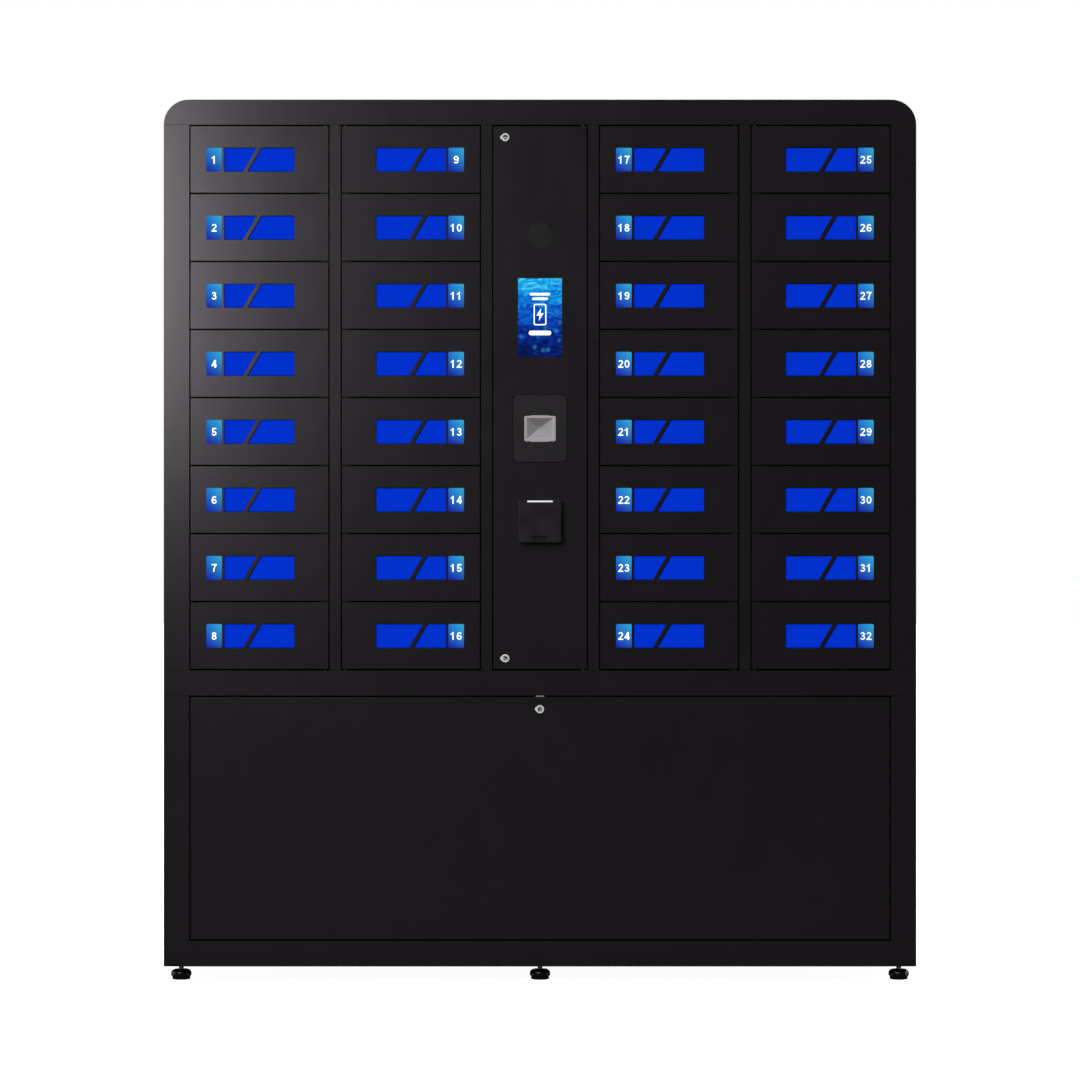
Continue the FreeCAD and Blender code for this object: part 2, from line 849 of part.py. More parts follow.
def access_door():
    """The drop-down door with its stiffeners and the moving leaves of its two hinges."""
    pan = door_pan(
        -access_door_half, access_door_half, access_door_depth, cover_sheet,
        access_door_bottom, access_door_top,
    )
    skin_back = front + cover_sheet
    pan_back = front + access_door_depth
    pan = pan.cut(along_y(cam_lock_body_radius, 0, access_lock_z, front, skin_back))
    pan = pan.cut(block(
        -flange_notch_half, flange_notch_half, skin_back, pan_back,
        access_door_top - cover_sheet, access_door_top,
    ))
    solids = []
    for side in (-1, 1):
        x = side * access_hinge_x
        pan = pan.cut(block(
            x - flange_notch_half, x + flange_notch_half, skin_back, pan_back,
            access_door_bottom, access_door_bottom + cover_sheet,
        ))
        solids.append(moving_leaf(x))
    solids += [stiffener(x) for x in (-access_stiffener_x, access_stiffener_x)]
    return [pan] + solids


def stiffener(x):
    """A hat-shaped stiffener up the back of the access door."""
    half = 20.0
    lip = 14.0
    depth = 12.0
    end_gap = 30.0
    y0 = front + cover_sheet
    z0 = access_door_bottom + end_gap
    z1 = access_door_top - end_gap
    solid = block(x - half - lip, x + half + lip, y0, y0 + cover_sheet, z0, z1)
    solid = solid.fuse(block(x - half, x + half, y0, y0 + depth, z0, z1))
    inner = half - cover_sheet
    solid = solid.cut(block(x - inner, x + inner, y0, y0 + depth - cover_sheet, z0, z1))
    return solid.removeSplitter()


def knuckle(x0, x1, bore):
    start = Vector(x0, access_axis_y, access_axis_z)
    along_x = Vector(1, 0, 0)
    outer = rod(access_knuckle_radius, start, along_x, x1 - x0)
    return outer, rod(bore, start, along_x, x1 - x0)


def moving_leaf(x):
    """The hinge leaf on the back of the access door, with its middle knuckle."""
    half = access_hinge_length / 2
    third = access_hinge_length / 6
    leaf_height = 22.0
    leaf_rise = 6.0            # from the hinge axis to the bottom of the leaf
    leaf_y = front + cover_sheet
    leaf_z = access_axis_z + leaf_rise
    leaf = block(
        x - half, x + half, leaf_y, leaf_y + cover_sheet, leaf_z, leaf_z + leaf_height)
    neck = block(x - third, x + third, leaf_y, leaf_y + frame_sheet, access_axis_z, leaf_z)
    outer, bore = knuckle(x - third, x + third, access_pin_radius + pin_clearance)
    return leaf.fuse([neck, outer]).cut(bore).removeSplitter()


def fixed_leaf(x):
    """The cranked hinge leaf that stands on the bottom rail, with its two end knuckles."""
    half = access_hinge_length / 2
    third = access_hinge_length / 6 + access_knuckle_gap
    arm_half = frame_sheet / 2
    low = access_axis_z - arm_half
    high = access_axis_z + arm_half
    leaf = block(
        x - half, x + half, frame_back - frame_sheet, frame_back, bottom_rail_top, high)
    for x0, x1 in ((x - half, x - third), (x + third, x + half)):
        arm = block(x0, x1, access_axis_y, frame_back, low, high)
        outer, bore = knuckle(x0, x1, access_pin_radius)
        leaf = leaf.fuse([arm, outer]).cut(bore)
    return leaf.removeSplitter()


def hinges_and_strike():
    """Every pivot pin, the access door's fixed hinge leaves, and the strike of its lock."""
    solids = []
    locker_half = row_gap / 2 + cover_sheet + pin_overrun
    for x, y in pin_places():
        for level in range(row_count + 1):
            z = row_line(level)
            solids.append(along_z(locker_pin_radius, x, y, z - locker_half, z + locker_half))
    console_half = row_gap / 2 + frame_sheet + pin_overrun
    y = front + console_pin_setback
    for level in (0, row_count):
        z = row_line(level)
        solids.append(along_z(
            console_pin_radius, console_axis_x, y, z - console_half, z + console_half))
    half = access_hinge_length / 2
    for x in (-access_hinge_x, access_hinge_x):
        solids.append(fixed_leaf(x))
        start = Vector(x - half, access_axis_y, access_axis_z)
        solids.append(rod(access_pin_radius, start, Vector(1, 0, 0), 2 * half))
    strike_drop = 2.3
    strike_half = 8.0
    strike_y = front + 3.0
    solids.append(block(
        -strike_half, strike_half, strike_y, strike_y + frame_sheet,
        access_top - strike_drop, access_top,
    ))
    return solids


# ---- feet ---------------------------------------------------------------------------

def levelling_foot(x, y):
    """A round pad with a banded rim, and the threaded stem that turns in the base's boss."""
    chamfer = 1.0
    profile = [
        (0, 0), (16.5, 0), (17.8, 1.3), (17.8, 6), (foot_pad_radius, 7.5),
        (foot_pad_radius, 14), (18.5, 17), (14.5, 19.5), (foot_stem_radius, foot_pad_top),
        (foot_stem_radius, foot_stem_top - chamfer),
        (foot_stem_radius - chamfer, foot_stem_top), (0, foot_stem_top),
    ]
    corners = [Vector(x + radius, y, z) for radius, z in profile]
    face = Part.Face(Part.makePolygon(corners + corners[:1]))
    return [face.revolve(Vector(x, y, 0), Vector(0, 0, 1), 360)]


# ---- electrics ----------------------------------------------------------------------

inlet_x = -600.0
inlet_z = 150.0
inlet_half_width = 24.0
inlet_half_height = 14.0


def inlet_span():
    return inlet_x - inlet_half_width, inlet_x + inlet_half_width


def inlet_rise():
    return inlet_z - inlet_half_height, inlet_z + inlet_half_height


def mains_inlet():
    """A three-pin appliance inlet set flush in the back sheet."""
    depth = 30.0
    socket_half_width = 12.5
    socket_half_height = 8.5
    socket_depth = 17.0
    body = block(*inlet_span(), back - depth, back, *inlet_rise())
    return body.cut(block(
        inlet_x - socket_half_width, inlet_x + socket_half_width,
        back - socket_depth, back,
        inlet_z - socket_half_height, inlet_z + socket_half_height,
    ))


def standing_box(centre_x, width, y0, y1, z0, z1, corner):
    return rounded_block(centre_x - width / 2, centre_x + width / 2, y0, y1, z0, z1, corner)


def power_and_control():
    """Supplies and hubs in the access bay, wiring ducts behind the cells, and a computer."""
    supply_x = (-520.0, -250.0, 250.0, 520.0)
    supply_width = 210.0
    supply_y = front + 150.0
    supply_depth = 115.0
    supply_height = 52.0
    supply_corner = 2.0
    control_width = 140.0
    control_y = front + 160.0
    control_depth = 90.0
    control_height = 120.0
    control_corner = 4.0
    hub_width = 180.0
    hub_depth = 34.0
    hub_low = 250.0
    hub_height = 120.0
    hub_corner = 3.0
    duct_width = 40.0
    duct_depth = 30.0
    duct_height = 1040.0
    computer_width = 124.0
    computer_depth = 32.0
    computer_low = 1010.0
    computer_height = 180.0
    computer_corner = 3.0

    pan_top = bottom + frame_sheet
    sheet_front = back - cover_sheet
    duct_low = lockers_bottom - cell_sheet
    solids = [mains_inlet()]
    for x in supply_x:
        solids.append(standing_box(
            x, supply_width, supply_y, supply_y + supply_depth,
            pan_top, pan_top + supply_height, supply_corner,
        ))
    solids.append(standing_box(
        0.0, control_width, control_y, control_y + control_depth,
        pan_top, pan_top + control_height, control_corner,
    ))
    for left in column_left:
        x = left + locker_width / 2
        solids.append(standing_box(
            x, hub_width, sheet_front - hub_depth, sheet_front,
            hub_low, hub_low + hub_height, hub_corner,
        ))
        solids.append(block(
            x - duct_width / 2, x + duct_width / 2, sheet_front - duct_depth, sheet_front,
            duct_low, duct_low + duct_height,
        ))
    solids.append(standing_box(
        0.0, computer_width, cell_back - computer_depth, cell_back,
        computer_low, computer_low + computer_height, computer_corner,
    ))
    return solids


# ---- the nodes ----------------------------------------------------------------------

def main():
    os.makedirs("parts", exist_ok=True)
    export("top_cover", top_cover())
    export("side_panels", side_panels())
    export("face_frame", face_frame())
    export("back_panel", back_panel())
    export("base_and_deck", base_and_deck())
    export("locker_cells", locker_cells())
    export("electronic_locks", electronic_locks())
    export("charging_outlets", charging_outlets())
    export("hinges_and_strike", hinges_and_strike())
    export("power_and_control", power_and_control())

    for column in range(column_count):
        for row in range(row_count):
            number = column * row_count + row + 1
            export("locker_door_%02d" % number, locker_door(column, row))

    export("console_door", console_door())
    export("touchscreen", touchscreen())
    export("scanner_plate", scanner_plate())
    export("barcode_scanner", barcode_scanner())
    export("card_reader", card_reader())
    export("speaker", speaker())
    upper_z, lower_z = console_lock_z
    barrels = []
    for z in console_lock_z:
        barrels += lock_barrel(console_lock_x, z, frame_sheet)
    export("console_lock_barrels", barrels)
    export("console_lock_plug_upper", lock_plug(console_lock_x, upper_z, 0, -1))
    export("console_lock_plug_lower", lock_plug(console_lock_x, lower_z, 0, 1))

    export("access_door", access_door())
    export("access_lock_barrel", lock_barrel(0.0, access_lock_z, cover_sheet))
    export("access_lock_plug", lock_plug(0.0, access_lock_z, -1, 0))

    for number, (x, y) in enumerate(foot_places(), 1):
        export("levelling_foot_%d" % number, levelling_foot(x, y))


main()
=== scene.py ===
import math

import bmesh
import bpy
from mathutils import Matrix, Vector


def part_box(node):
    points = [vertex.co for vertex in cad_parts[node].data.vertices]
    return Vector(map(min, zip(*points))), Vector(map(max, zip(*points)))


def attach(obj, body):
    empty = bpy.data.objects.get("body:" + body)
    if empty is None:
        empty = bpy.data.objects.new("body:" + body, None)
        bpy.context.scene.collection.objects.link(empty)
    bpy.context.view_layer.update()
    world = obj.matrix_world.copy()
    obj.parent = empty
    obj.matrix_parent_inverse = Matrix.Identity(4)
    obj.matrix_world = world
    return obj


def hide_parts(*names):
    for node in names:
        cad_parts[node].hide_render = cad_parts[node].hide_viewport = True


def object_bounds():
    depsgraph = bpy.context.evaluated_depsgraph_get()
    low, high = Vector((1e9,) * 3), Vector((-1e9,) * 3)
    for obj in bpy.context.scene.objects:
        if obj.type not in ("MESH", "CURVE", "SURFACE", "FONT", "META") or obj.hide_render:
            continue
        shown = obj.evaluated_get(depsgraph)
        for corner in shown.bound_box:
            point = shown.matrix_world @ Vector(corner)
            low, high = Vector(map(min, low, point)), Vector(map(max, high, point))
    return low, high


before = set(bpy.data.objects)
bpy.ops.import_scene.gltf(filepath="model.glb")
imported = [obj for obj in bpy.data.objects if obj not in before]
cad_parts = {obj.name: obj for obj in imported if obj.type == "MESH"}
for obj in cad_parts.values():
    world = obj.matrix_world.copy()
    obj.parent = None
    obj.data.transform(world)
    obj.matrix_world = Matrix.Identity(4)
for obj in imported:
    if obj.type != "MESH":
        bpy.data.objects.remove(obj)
cad_low, cad_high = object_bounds()

# The phone charging kiosk's looks. Everything is in metres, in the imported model's own frame:
# X to the right, Y to the back, Z up, with the front facing -Y and the floor at z = 0.

MM = 0.001
DOOR_COUNT = 32
DOORS_IN_COLUMN = 8
LEFT_TEMPLATE = "locker_door_01"     # latch on the left, windows from left to right
RIGHT_TEMPLATE = "locker_door_09"    # the same door turned round, latch on the right
FOOT_COUNT = 6
SAME_POINT = 1e-6                    # points closer than this are one, in metres
SHARP_TURN = math.radians(35)        # edges that turn more than this stay sharp
front_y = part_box("face_frame")[0].y  # the plane of the doors' and the frame's faces


# ---- node materials -----------------------------------------------------------------

class Surface:
    """A node-based material around one Principled shader."""

    def __init__(self, name, color, roughness, metallic=0.0, specular=0.5):
        self.material = bpy.data.materials.new(name)
        self.material.use_nodes = True
        self.tree = self.material.node_tree
        self.shader = self.tree.nodes["Principled BSDF"]
        self.set("Base Color", (*color, 1.0))
        self.set("Roughness", roughness)
        self.set("Metallic", metallic)
        self.set("Specular IOR Level", specular)
        self.material.diffuse_color = (*color, 1.0)

    def set(self, socket, value):
        self.shader.inputs[socket].default_value = value

    def add(self, kind, **values):
        node = self.tree.nodes.new(kind)
        for name, value in values.items():
            if hasattr(node, name):
                setattr(node, name, value)
            else:
                node.inputs[name.replace("_", " ")].default_value = value
        return node

    def link(self, source, target):
        self.tree.links.new(source, target)

    def place(self):
        return self.add("ShaderNodeTexCoord").outputs["Object"]

    def uv(self, name):
        return self.add("ShaderNodeUVMap", uv_map=name).outputs["UV"]

    def split(self, vector):
        """A vector's parts, under the names X, Y and Z."""
        parts = self.add("ShaderNodeSeparateXYZ")
        self.link(vector, parts.inputs["Vector"])
        return parts.outputs

    def stretched(self, vector, scale, turn=0.0):
        """A vector scaled along each axis, then turned about Z by some degrees."""
        mapping = self.add("ShaderNodeMapping")
        mapping.inputs["Scale"].default_value = scale
        mapping.inputs["Rotation"].default_value = (0.0, 0.0, math.radians(turn))
        self.link(vector, mapping.inputs["Vector"])
        return mapping.outputs["Vector"]

    def noise(self, scale, detail=3.0, rough=0.5, stretch=(1, 1, 1)):
        """Noise over the object's own coordinates in metres, as a 0 to 1 factor."""
        node = self.add("ShaderNodeTexNoise", Scale=scale, Detail=detail, Roughness=rough)
        self.link(self.stretched(self.place(), stretch), node.inputs["Vector"])
        return node.outputs["Fac"]

    def spread(self, factor, low, high, from_low=0.3, from_high=0.7):
        """Maps a factor to a range; a noise lies mostly between 0.3 and 0.7."""
        node = self.add("ShaderNodeMapRange")
        node.inputs["From Min"].default_value = from_low
        node.inputs["From Max"].default_value = from_high
        node.inputs["To Min"].default_value = low
        node.inputs["To Max"].default_value = high
        self.link(factor, node.inputs["Value"])
        return node.outputs["Result"]

    def mix(self, factor, first, second):
        node = self.add("ShaderNodeMix", data_type="RGBA")
        self.link(factor, node.inputs["Factor"])
        for socket, value in ((node.inputs[6], first), (node.inputs[7], second)):
            if isinstance(value, tuple):
                socket.default_value = (*value, 1.0)
            else:
                self.link(value, socket)
        return node.outputs[2]

    def bump(self, height, strength, distance, below=None):
        node = self.add("ShaderNodeBump", Strength=strength, Distance=distance)
        self.link(height, node.inputs["Height"])
        if below is not None:
            self.link(below, node.inputs["Normal"])
        return node.outputs["Normal"]

    def drive(self, source, socket):
        self.link(source, self.shader.inputs[socket])

    def blend(self, noise, first, second, socket):
        """Drives a colour socket with two colours that a noise mixes."""
        self.drive(self.mix(self.spread(noise, 0.0, 1.0), first, second), socket)


FINE_GRAIN = 1500.0      # noise scales, in cycles per metre
SPECKLE = 900.0
TOOL_MARKS = 700.0
ORANGE_PEEL = 420.0
CLOUD = 14.0


def shade(color, share):
    return tuple(share * value for value in color)


def powder_coat(name, color, low_rough, high_rough, grain=0.10, specular=0.45):
    """Satin powder coat: fine orange peel, a slow cloudiness in its gloss, and a speckle.

    No coat here has a roughness below 0.28. One that went below about 0.27 in places came out
    of the denoiser with smears.
    """
    surface = Surface(name, color, (low_rough + high_rough) / 2, specular=specular)
    cloud = surface.noise(CLOUD, detail=6.0, rough=0.7, stretch=(1, 1, 0.6))
    gloss = surface.spread(cloud, low_rough, high_rough, from_low=0.35, from_high=0.65)
    surface.drive(gloss, "Roughness")
    speckle = surface.noise(SPECKLE, detail=2.0)
    light = tuple(value + 0.001 for value in shade(color, 1.25))
    surface.blend(speckle, shade(color, 0.8), light, "Base Color")
    peel = surface.bump(surface.noise(ORANGE_PEEL, detail=2.0), grain, 0.6 * MM)
    surface.drive(surface.bump(speckle, 0.6 * grain, 0.2 * MM, below=peel), "Normal")
    return surface.material


def moulded_plastic(name, color, roughness, grain=0.12, specular=0.4):
    """Moulded plastic with a fine spark-eroded texture."""
    surface = Surface(name, color, roughness, specular=specular)
    slow = surface.noise(scale=25.0)
    surface.drive(surface.spread(slow, roughness - 0.05, roughness + 0.06), "Roughness")
    surface.blend(slow, shade(color, 0.9), shade(color, 1.12), "Base Color")
    fine = surface.noise(FINE_GRAIN, detail=2.0)
    surface.drive(surface.bump(fine, grain, 0.2 * MM), "Normal")
    return surface.material


def worked_metal(name, color, roughness, stretch, metallic, grain=0.15):
    """Plated metal with fine marks, which a stretch under 1 draws out along that axis."""
    surface = Surface(name, color, roughness, metallic=metallic)
    marks = surface.noise(TOOL_MARKS, stretch=stretch)
    surface.drive(surface.spread(marks, roughness - 0.06, roughness + 0.09), "Roughness")
    surface.blend(surface.noise(scale=30.0), shade(color, 0.82), color, "Base Color")
    surface.drive(surface.bump(marks, grain, 0.1 * MM), "Normal")
    return surface.material


def lit_window():
    """Blue acrylic lit evenly from behind, with painted shade: a darker line along its foot."""
    surface = Surface("window_acrylic", (0.0001, 0.001, 0.012), 0.45, specular=0.0)
    glow = surface.noise(scale=40.0, detail=1.0)
    even = surface.mix(glow, (0.0006, 0.0288, 0.586), (0.0006, 0.0300, 0.606))
    # painted shade: a darker blue along the lowest part of the window
    foot = (0.0010, 0.0170, 0.240)
    height = surface.split(surface.uv("window"))["Y"]
    lit = surface.spread(height, 0.0, 1.0, from_low=0.025, from_high=0.045)
    surface.drive(surface.mix(lit, foot, even), "Emission Color")
    surface.set("Emission Strength", 1.0)
    return surface.material


def number_tile():
    """A printed tile whose blue brightens towards its upper right corner; its print is given as
    emission, a painted glow, as the tile has no lamp behind it.
    """
    top_left = (0.0137, 0.170, 0.640)
    top_right = (0.0350, 0.410, 0.670)
    low_left = (0.0070, 0.008, 0.360)
    low_right = (0.0180, 0.0560, 0.420)
    surface = Surface("number_tile_painted_glow", (0.0005, 0.003, 0.012), 0.4, specular=0.0)
    place = surface.split(surface.uv("tile"))
    upper = surface.mix(place["X"], top_left, top_right)
    lower = surface.mix(place["X"], low_left, low_right)
    # painted glow: the print's colours are emitted rather than lit
    surface.drive(surface.mix(place["Y"], lower, upper), "Emission Color")
    surface.set("Emission Strength", 1.0)
    return surface.material


def white_print():
    surface = Surface("white_print", (0.8, 0.8, 0.82), 0.45, specular=0.3)
    grain = surface.noise(SPECKLE, detail=1.0)
    # The print glows: on the screen this is the screen's own light, on the door tiles it is a
    # painted glow.
    surface.blend(grain, (0.80, 0.83, 0.88), (0.9, 0.92, 0.96), "Emission Color")
    surface.set("Emission Strength", 0.85)
    return surface.material


def display_image():
    """The screen's picture: soft blue light at the top, waves below and round blurs."""
    surface = Surface("display_image", (0.0, 0.002, 0.01), 0.12, specular=0.35)
    uv = surface.uv("screen")
    slanted = surface.stretched(uv, (1.6, 6.0, 1.0), turn=-28)
    waves = surface.add("ShaderNodeTexNoise", Scale=2.2, Detail=5.0, Distortion=1.4)
    surface.link(slanted, waves.inputs["Vector"])
    ramp = surface.add("ShaderNodeValToRGB")
    tones = [
        (0.0, (0.0003, 0.003, 0.055)), (0.22, (0.0012, 0.012, 0.16)),
        (0.42, (0.001, 0.045, 0.42)), (0.60, (0.003, 0.14, 0.60)),
        (0.80, (0.010, 0.40, 0.80)), (1.0, (0.10, 0.78, 0.96)),
    ]
    while len(ramp.color_ramp.elements) < len(tones):
        ramp.color_ramp.elements.new(0.5)
    for element, (position, color) in zip(ramp.color_ramp.elements, tones):
        element.position = position
        element.color = (*color, 1.0)
    rise = 0.78              # how much of the ramp the picture's height covers
    light = surface.add("ShaderNodeMath", operation="MULTIPLY_ADD")
    surface.link(surface.split(uv)["Y"], light.inputs[0])
    light.inputs[1].default_value = rise
    wave = surface.spread(waves.outputs["Fac"], -0.14, 0.30, from_low=0.3, from_high=0.72)
    surface.link(wave, light.inputs[2])
    surface.link(light.outputs["Value"], ramp.inputs["Fac"])
    blurs = surface.add("ShaderNodeTexVoronoi", Scale=9.0)
    surface.link(surface.stretched(uv, (0.56, 1.0, 1.0)), blurs.inputs["Vector"])
    spot = surface.spread(
        blurs.outputs["Distance"], 0.25, 0.0, from_low=0.08, from_high=0.34)
    surface.drive(
        surface.mix(spot, ramp.outputs["Color"], (0.06, 0.55, 0.9)), "Emission Color")
    surface.set("Emission Strength", 1.0)
    return surface.material


def light_bar():
    surface = Surface("light_bar", (0.2, 0.2, 0.2), 0.4)
    along = surface.noise(scale=300.0, detail=1.0)
    surface.blend(along, (0.82, 0.84, 0.88), (0.95, 0.97, 1.0), "Emission Color")
    surface.set("Emission Strength", 0.8)
    return surface.material


def funnel_plastic(rim_y):
    """Grey plastic that darkens a little from the scanner's rim into its funnel, as painted shade
    in the funnel's hollow.
    """
    rim_color = (0.50, 0.49, 0.50)
    funnel_shade_color = (0.42, 0.415, 0.42)
    surface = Surface("grey_plastic", rim_color, 0.5, specular=0.3)
    # painted shade: the colour darkens with depth into the funnel
    depth = surface.spread(
        surface.split(surface.place())["Y"], 0.0, 1.0,
        from_low=rim_y + 0.5 * MM, from_high=rim_y + 3 * MM)
    surface.drive(surface.mix(depth, rim_color, funnel_shade_color), "Base Color")
    fine = surface.noise(FINE_GRAIN, detail=2.0)
    surface.drive(surface.bump(fine, 0.1, 0.2 * MM), "Normal")
    return surface.material


def foot_finish():
    """A gloss black pad below a plated stem."""
    black = (0.004, 0.004, 0.005)
    plate = (0.85, 0.85, 0.85)
    stem_z = 20.3 * MM
    surface = Surface("foot_finish", black, 0.12)
    height = surface.split(surface.place())["Z"]
    stem = {"from_low": stem_z, "from_high": stem_z + 0.2 * MM}
    surface.drive(surface.mix(surface.spread(height, 0.0, 1.0, **stem), black, plate), "Base Color")
    surface.drive(surface.spread(height, 0.0, 0.25, **stem), "Metallic")
    surface.drive(surface.spread(surface.noise(scale=60.0), 0.10, 0.18), "Roughness")
    return surface.material


def black_glass():
    surface = Surface("black_glass", (0.004, 0.004, 0.005), 0.08)
    surface.drive(surface.spread(surface.noise(scale=40.0), 0.06, 0.12), "Roughness")
    return surface.material


def pale_floor():
    """A plain white sweep that glows a little, so that it meets the white backdrop unseen."""
    surface = Surface("floor", (0.8, 0.8, 0.8), 0.8, specular=0.1)
    patches = surface.noise(scale=3.0)
    surface.drive(surface.mix(patches, (0.79, 0.79, 0.79), (0.81, 0.81, 0.81)), "Base Color")
    surface.set("Emission Color", (1.0, 1.0, 1.0, 1.0))
    surface.set("Emission Strength", 0.96)
    return surface.material


# ---- mesh helpers -------------------------------------------------------------------

def add_object(name, data):
    item = bpy.data.objects.new(name, data)
    bpy.context.scene.collection.objects.link(item)
    return item


def mesh_from(bm, name):
    """A new mesh with what a bmesh holds. The bmesh is freed."""
    mesh = bpy.data.meshes.new(name)
    bm.to_mesh(mesh)
    bm.free()
    return mesh


def dress(mesh, material):
    """Gives a mesh its material, and smooth shading between its sharp edges."""
    mesh.materials.append(material)
    mesh.shade_smooth()
    mesh.set_sharp_from_angle(angle=SHARP_TURN)


def piece(mesh, name, material, body, radius=0.0):
    """A mesh as an object with one material that rides on a body."""
    dress(mesh, material)
    item = add_object(name, mesh)
    if radius:
        soften(item, radius)
    else:
        level_faces(item)
    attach(item, body)
    return item


def level_faces(item):
    """Keeps big flat faces flat, so that only the small rounded edges bend the light."""
    level = item.modifiers.new("level", "WEIGHTED_NORMAL")
    level.keep_sharp = True
    level.weight = 100


def soften(item, radius, segments=2):
    """Rounds an object's sharp edges and keeps its flat faces flat."""
    bevel = item.modifiers.new("edges", "BEVEL")
    bevel.width = radius
    bevel.segments = segments
    bevel.limit_method = "ANGLE"
    bevel.angle_limit = math.radians(40)
    bevel.harden_normals = True


def islands(mesh):
    """A mesh's separate closed shells, each as its own bmesh, with flat faces merged.

    They come in the order of the mesh's points, so that each run gives the same order.
    """
    whole = bmesh.new()
    whole.from_mesh(mesh)
    bmesh.ops.remove_doubles(whole, verts=whole.verts, dist=SAME_POINT)
    taken = set()
    shells = []
    for start in whole.verts:
        if start in taken:
            continue
        reached = [start]
        shell = set(reached)
        while reached:
            vertex = reached.pop()
            for edge in vertex.link_edges:
                other = edge.other_vert(vertex)
                if other not in shell:
                    shell.add(other)
                    reached.append(other)
        taken |= shell
        shells.append(shell)
    parts = []
    for shell in shells:
        part = bmesh.new()
        copies = {vertex: part.verts.new(vertex.co) for vertex in whole.verts if vertex in shell}
        for face in whole.faces:
            if face.verts[0] in shell:
                part.faces.new([copies[vertex] for vertex in face.verts])
        bmesh.ops.dissolve_limit(
            part, angle_limit=math.radians(1.0), verts=part.verts, edges=part.edges)
        bmesh.ops.recalc_face_normals(part, faces=part.faces)
        parts.append(part)
    whole.free()
    return parts


def extent(bm):
    """The lowest and highest corner of a bmesh."""
    low = Vector([min(vertex.co[axis] for vertex in bm.verts) for axis in range(3)])
    high = Vector([max(vertex.co[axis] for vertex in bm.verts) for axis in range(3)])
    return low, high


def round_edges(bm, radius, segments, chosen):
    """Rounds the chosen ones among a bmesh's sharp edges."""
    edges = [
        edge for edge in bm.edges
        if edge.calc_face_angle(0.0) > math.radians(25) and chosen(edge)
    ]
    bmesh.ops.bevel(
        bm, geom=edges, offset=radius, segments=segments, profile=0.5,
        affect="EDGES", clamp_overlap=True,
    )


def runs_along_y(edge):
    direction = (edge.verts[1].co - edge.verts[0].co).normalized()
    return abs(direction.y) > 0.99


def box_mesh(low, high):
    """A plain box, to be softened by its piece."""
    bm = bmesh.new()
    bmesh.ops.create_cube(bm, size=1.0)
    bmesh.ops.scale(bm, vec=Vector(high) - Vector(low), verts=bm.verts)
    bmesh.ops.translate(bm, vec=(Vector(low) + Vector(high)) / 2, verts=bm.verts)
    return mesh_from(bm, "box")


def flat_shape(outlines, y_front, depth):
    """A mesh made from closed (x, z) outlines that face the front; inner ones are holes."""
    curve = bpy.data.curves.new("outline", "CURVE")
    curve.dimensions = "2D"
    curve.fill_mode = "BOTH"
    curve.extrude = depth / 2
    for outline in outlines:
        spline = curve.splines.new("POLY")
        spline.points.add(len(outline) - 1)
        for point, (x, z) in zip(spline.points, outline):
            point.co = (x, z, 0.0, 1.0)
        spline.use_cyclic_u = True
    holder = add_object("outline", curve)
    mesh = bpy.data.meshes.new_from_object(
        holder.evaluated_get(bpy.context.evaluated_depsgraph_get()))
    bpy.data.objects.remove(holder)
    bpy.data.curves.remove(curve)
    stand = Matrix.Rotation(math.radians(90), 4, "X")
    mesh.transform(Matrix.Translation((0, y_front + depth / 2, 0)) @ stand)
    mesh.materials.clear()
    joined = bmesh.new()
    joined.from_mesh(mesh)
    bmesh.ops.remove_doubles(joined, verts=joined.verts, dist=SAME_POINT)
    bmesh.ops.dissolve_limit(
        joined, angle_limit=math.radians(0.5), verts=joined.verts, edges=joined.edges)
    bmesh.ops.recalc_face_normals(joined, faces=joined.faces)
    joined.to_mesh(mesh)
    joined.free()
    return mesh


def rounded_outline(centre_x, centre_z, width, height, radius, steps=5):
    """A rectangle with round corners, anticlockwise from the right."""
    points = []
    for turn, (side_x, side_z) in enumerate(((1, 1), (-1, 1), (-1, -1), (1, -1))):
        corner_x = centre_x + side_x * (width / 2 - radius)
        corner_z = centre_z + side_z * (height / 2 - radius)
        for step in range(steps + 1):
            angle = math.radians(90 * turn + 90 * step / steps)
            points.append(
                (corner_x + radius * math.cos(angle), corner_z + radius * math.sin(angle)))
    return points


def map_front(mesh, name):
    """A UV map that runs from 0 to 1 over the width and height of a piece."""
    xs = [vertex.co.x for vertex in mesh.vertices]
    zs = [vertex.co.z for vertex in mesh.vertices]
    layer = mesh.uv_layers.new(name=name)
    for loop in mesh.loops:
        place = mesh.vertices[loop.vertex_index].co
        layer.data[loop.index].uv = (
            (place.x - min(xs)) / (max(xs) - min(xs)), (place.z - min(zs)) / (max(zs) - min(zs)))


def finish_cad(name, material, radius=0.4 * MM, segments=2):
    """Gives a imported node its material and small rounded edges. Its own points stay."""
    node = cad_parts[name]
    node.data.materials.clear()
    node.data.materials.append(material)
    if "custom_normal" in node.data.attributes:
        node.data.attributes.remove(node.data.attributes["custom_normal"])
    if not radius:
        node.data.shade_flat()
        return
    node.data.shade_smooth()
    node.data.set_sharp_from_angle(angle=math.radians(25))
    weld = node.modifiers.new("weld", "WELD")
    weld.merge_threshold = SAME_POINT
    flat = node.modifiers.new("flat", "DECIMATE")
    flat.decimate_type = "DISSOLVE"
    flat.angle_limit = math.radians(1.0)
    soften(node, radius, segments)


def paint_part(name, material, place, reach):
    """Gives a second material to the faces of a node near one (x, z) place."""
    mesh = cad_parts[name].data
    mesh.materials.append(material)
    for polygon in mesh.polygons:
        if math.hypot(polygon.center.x - place[0], polygon.center.z - place[1]) < reach:
            polygon.material_index = 1


# ---- the materials ------------------------------------------------------------------

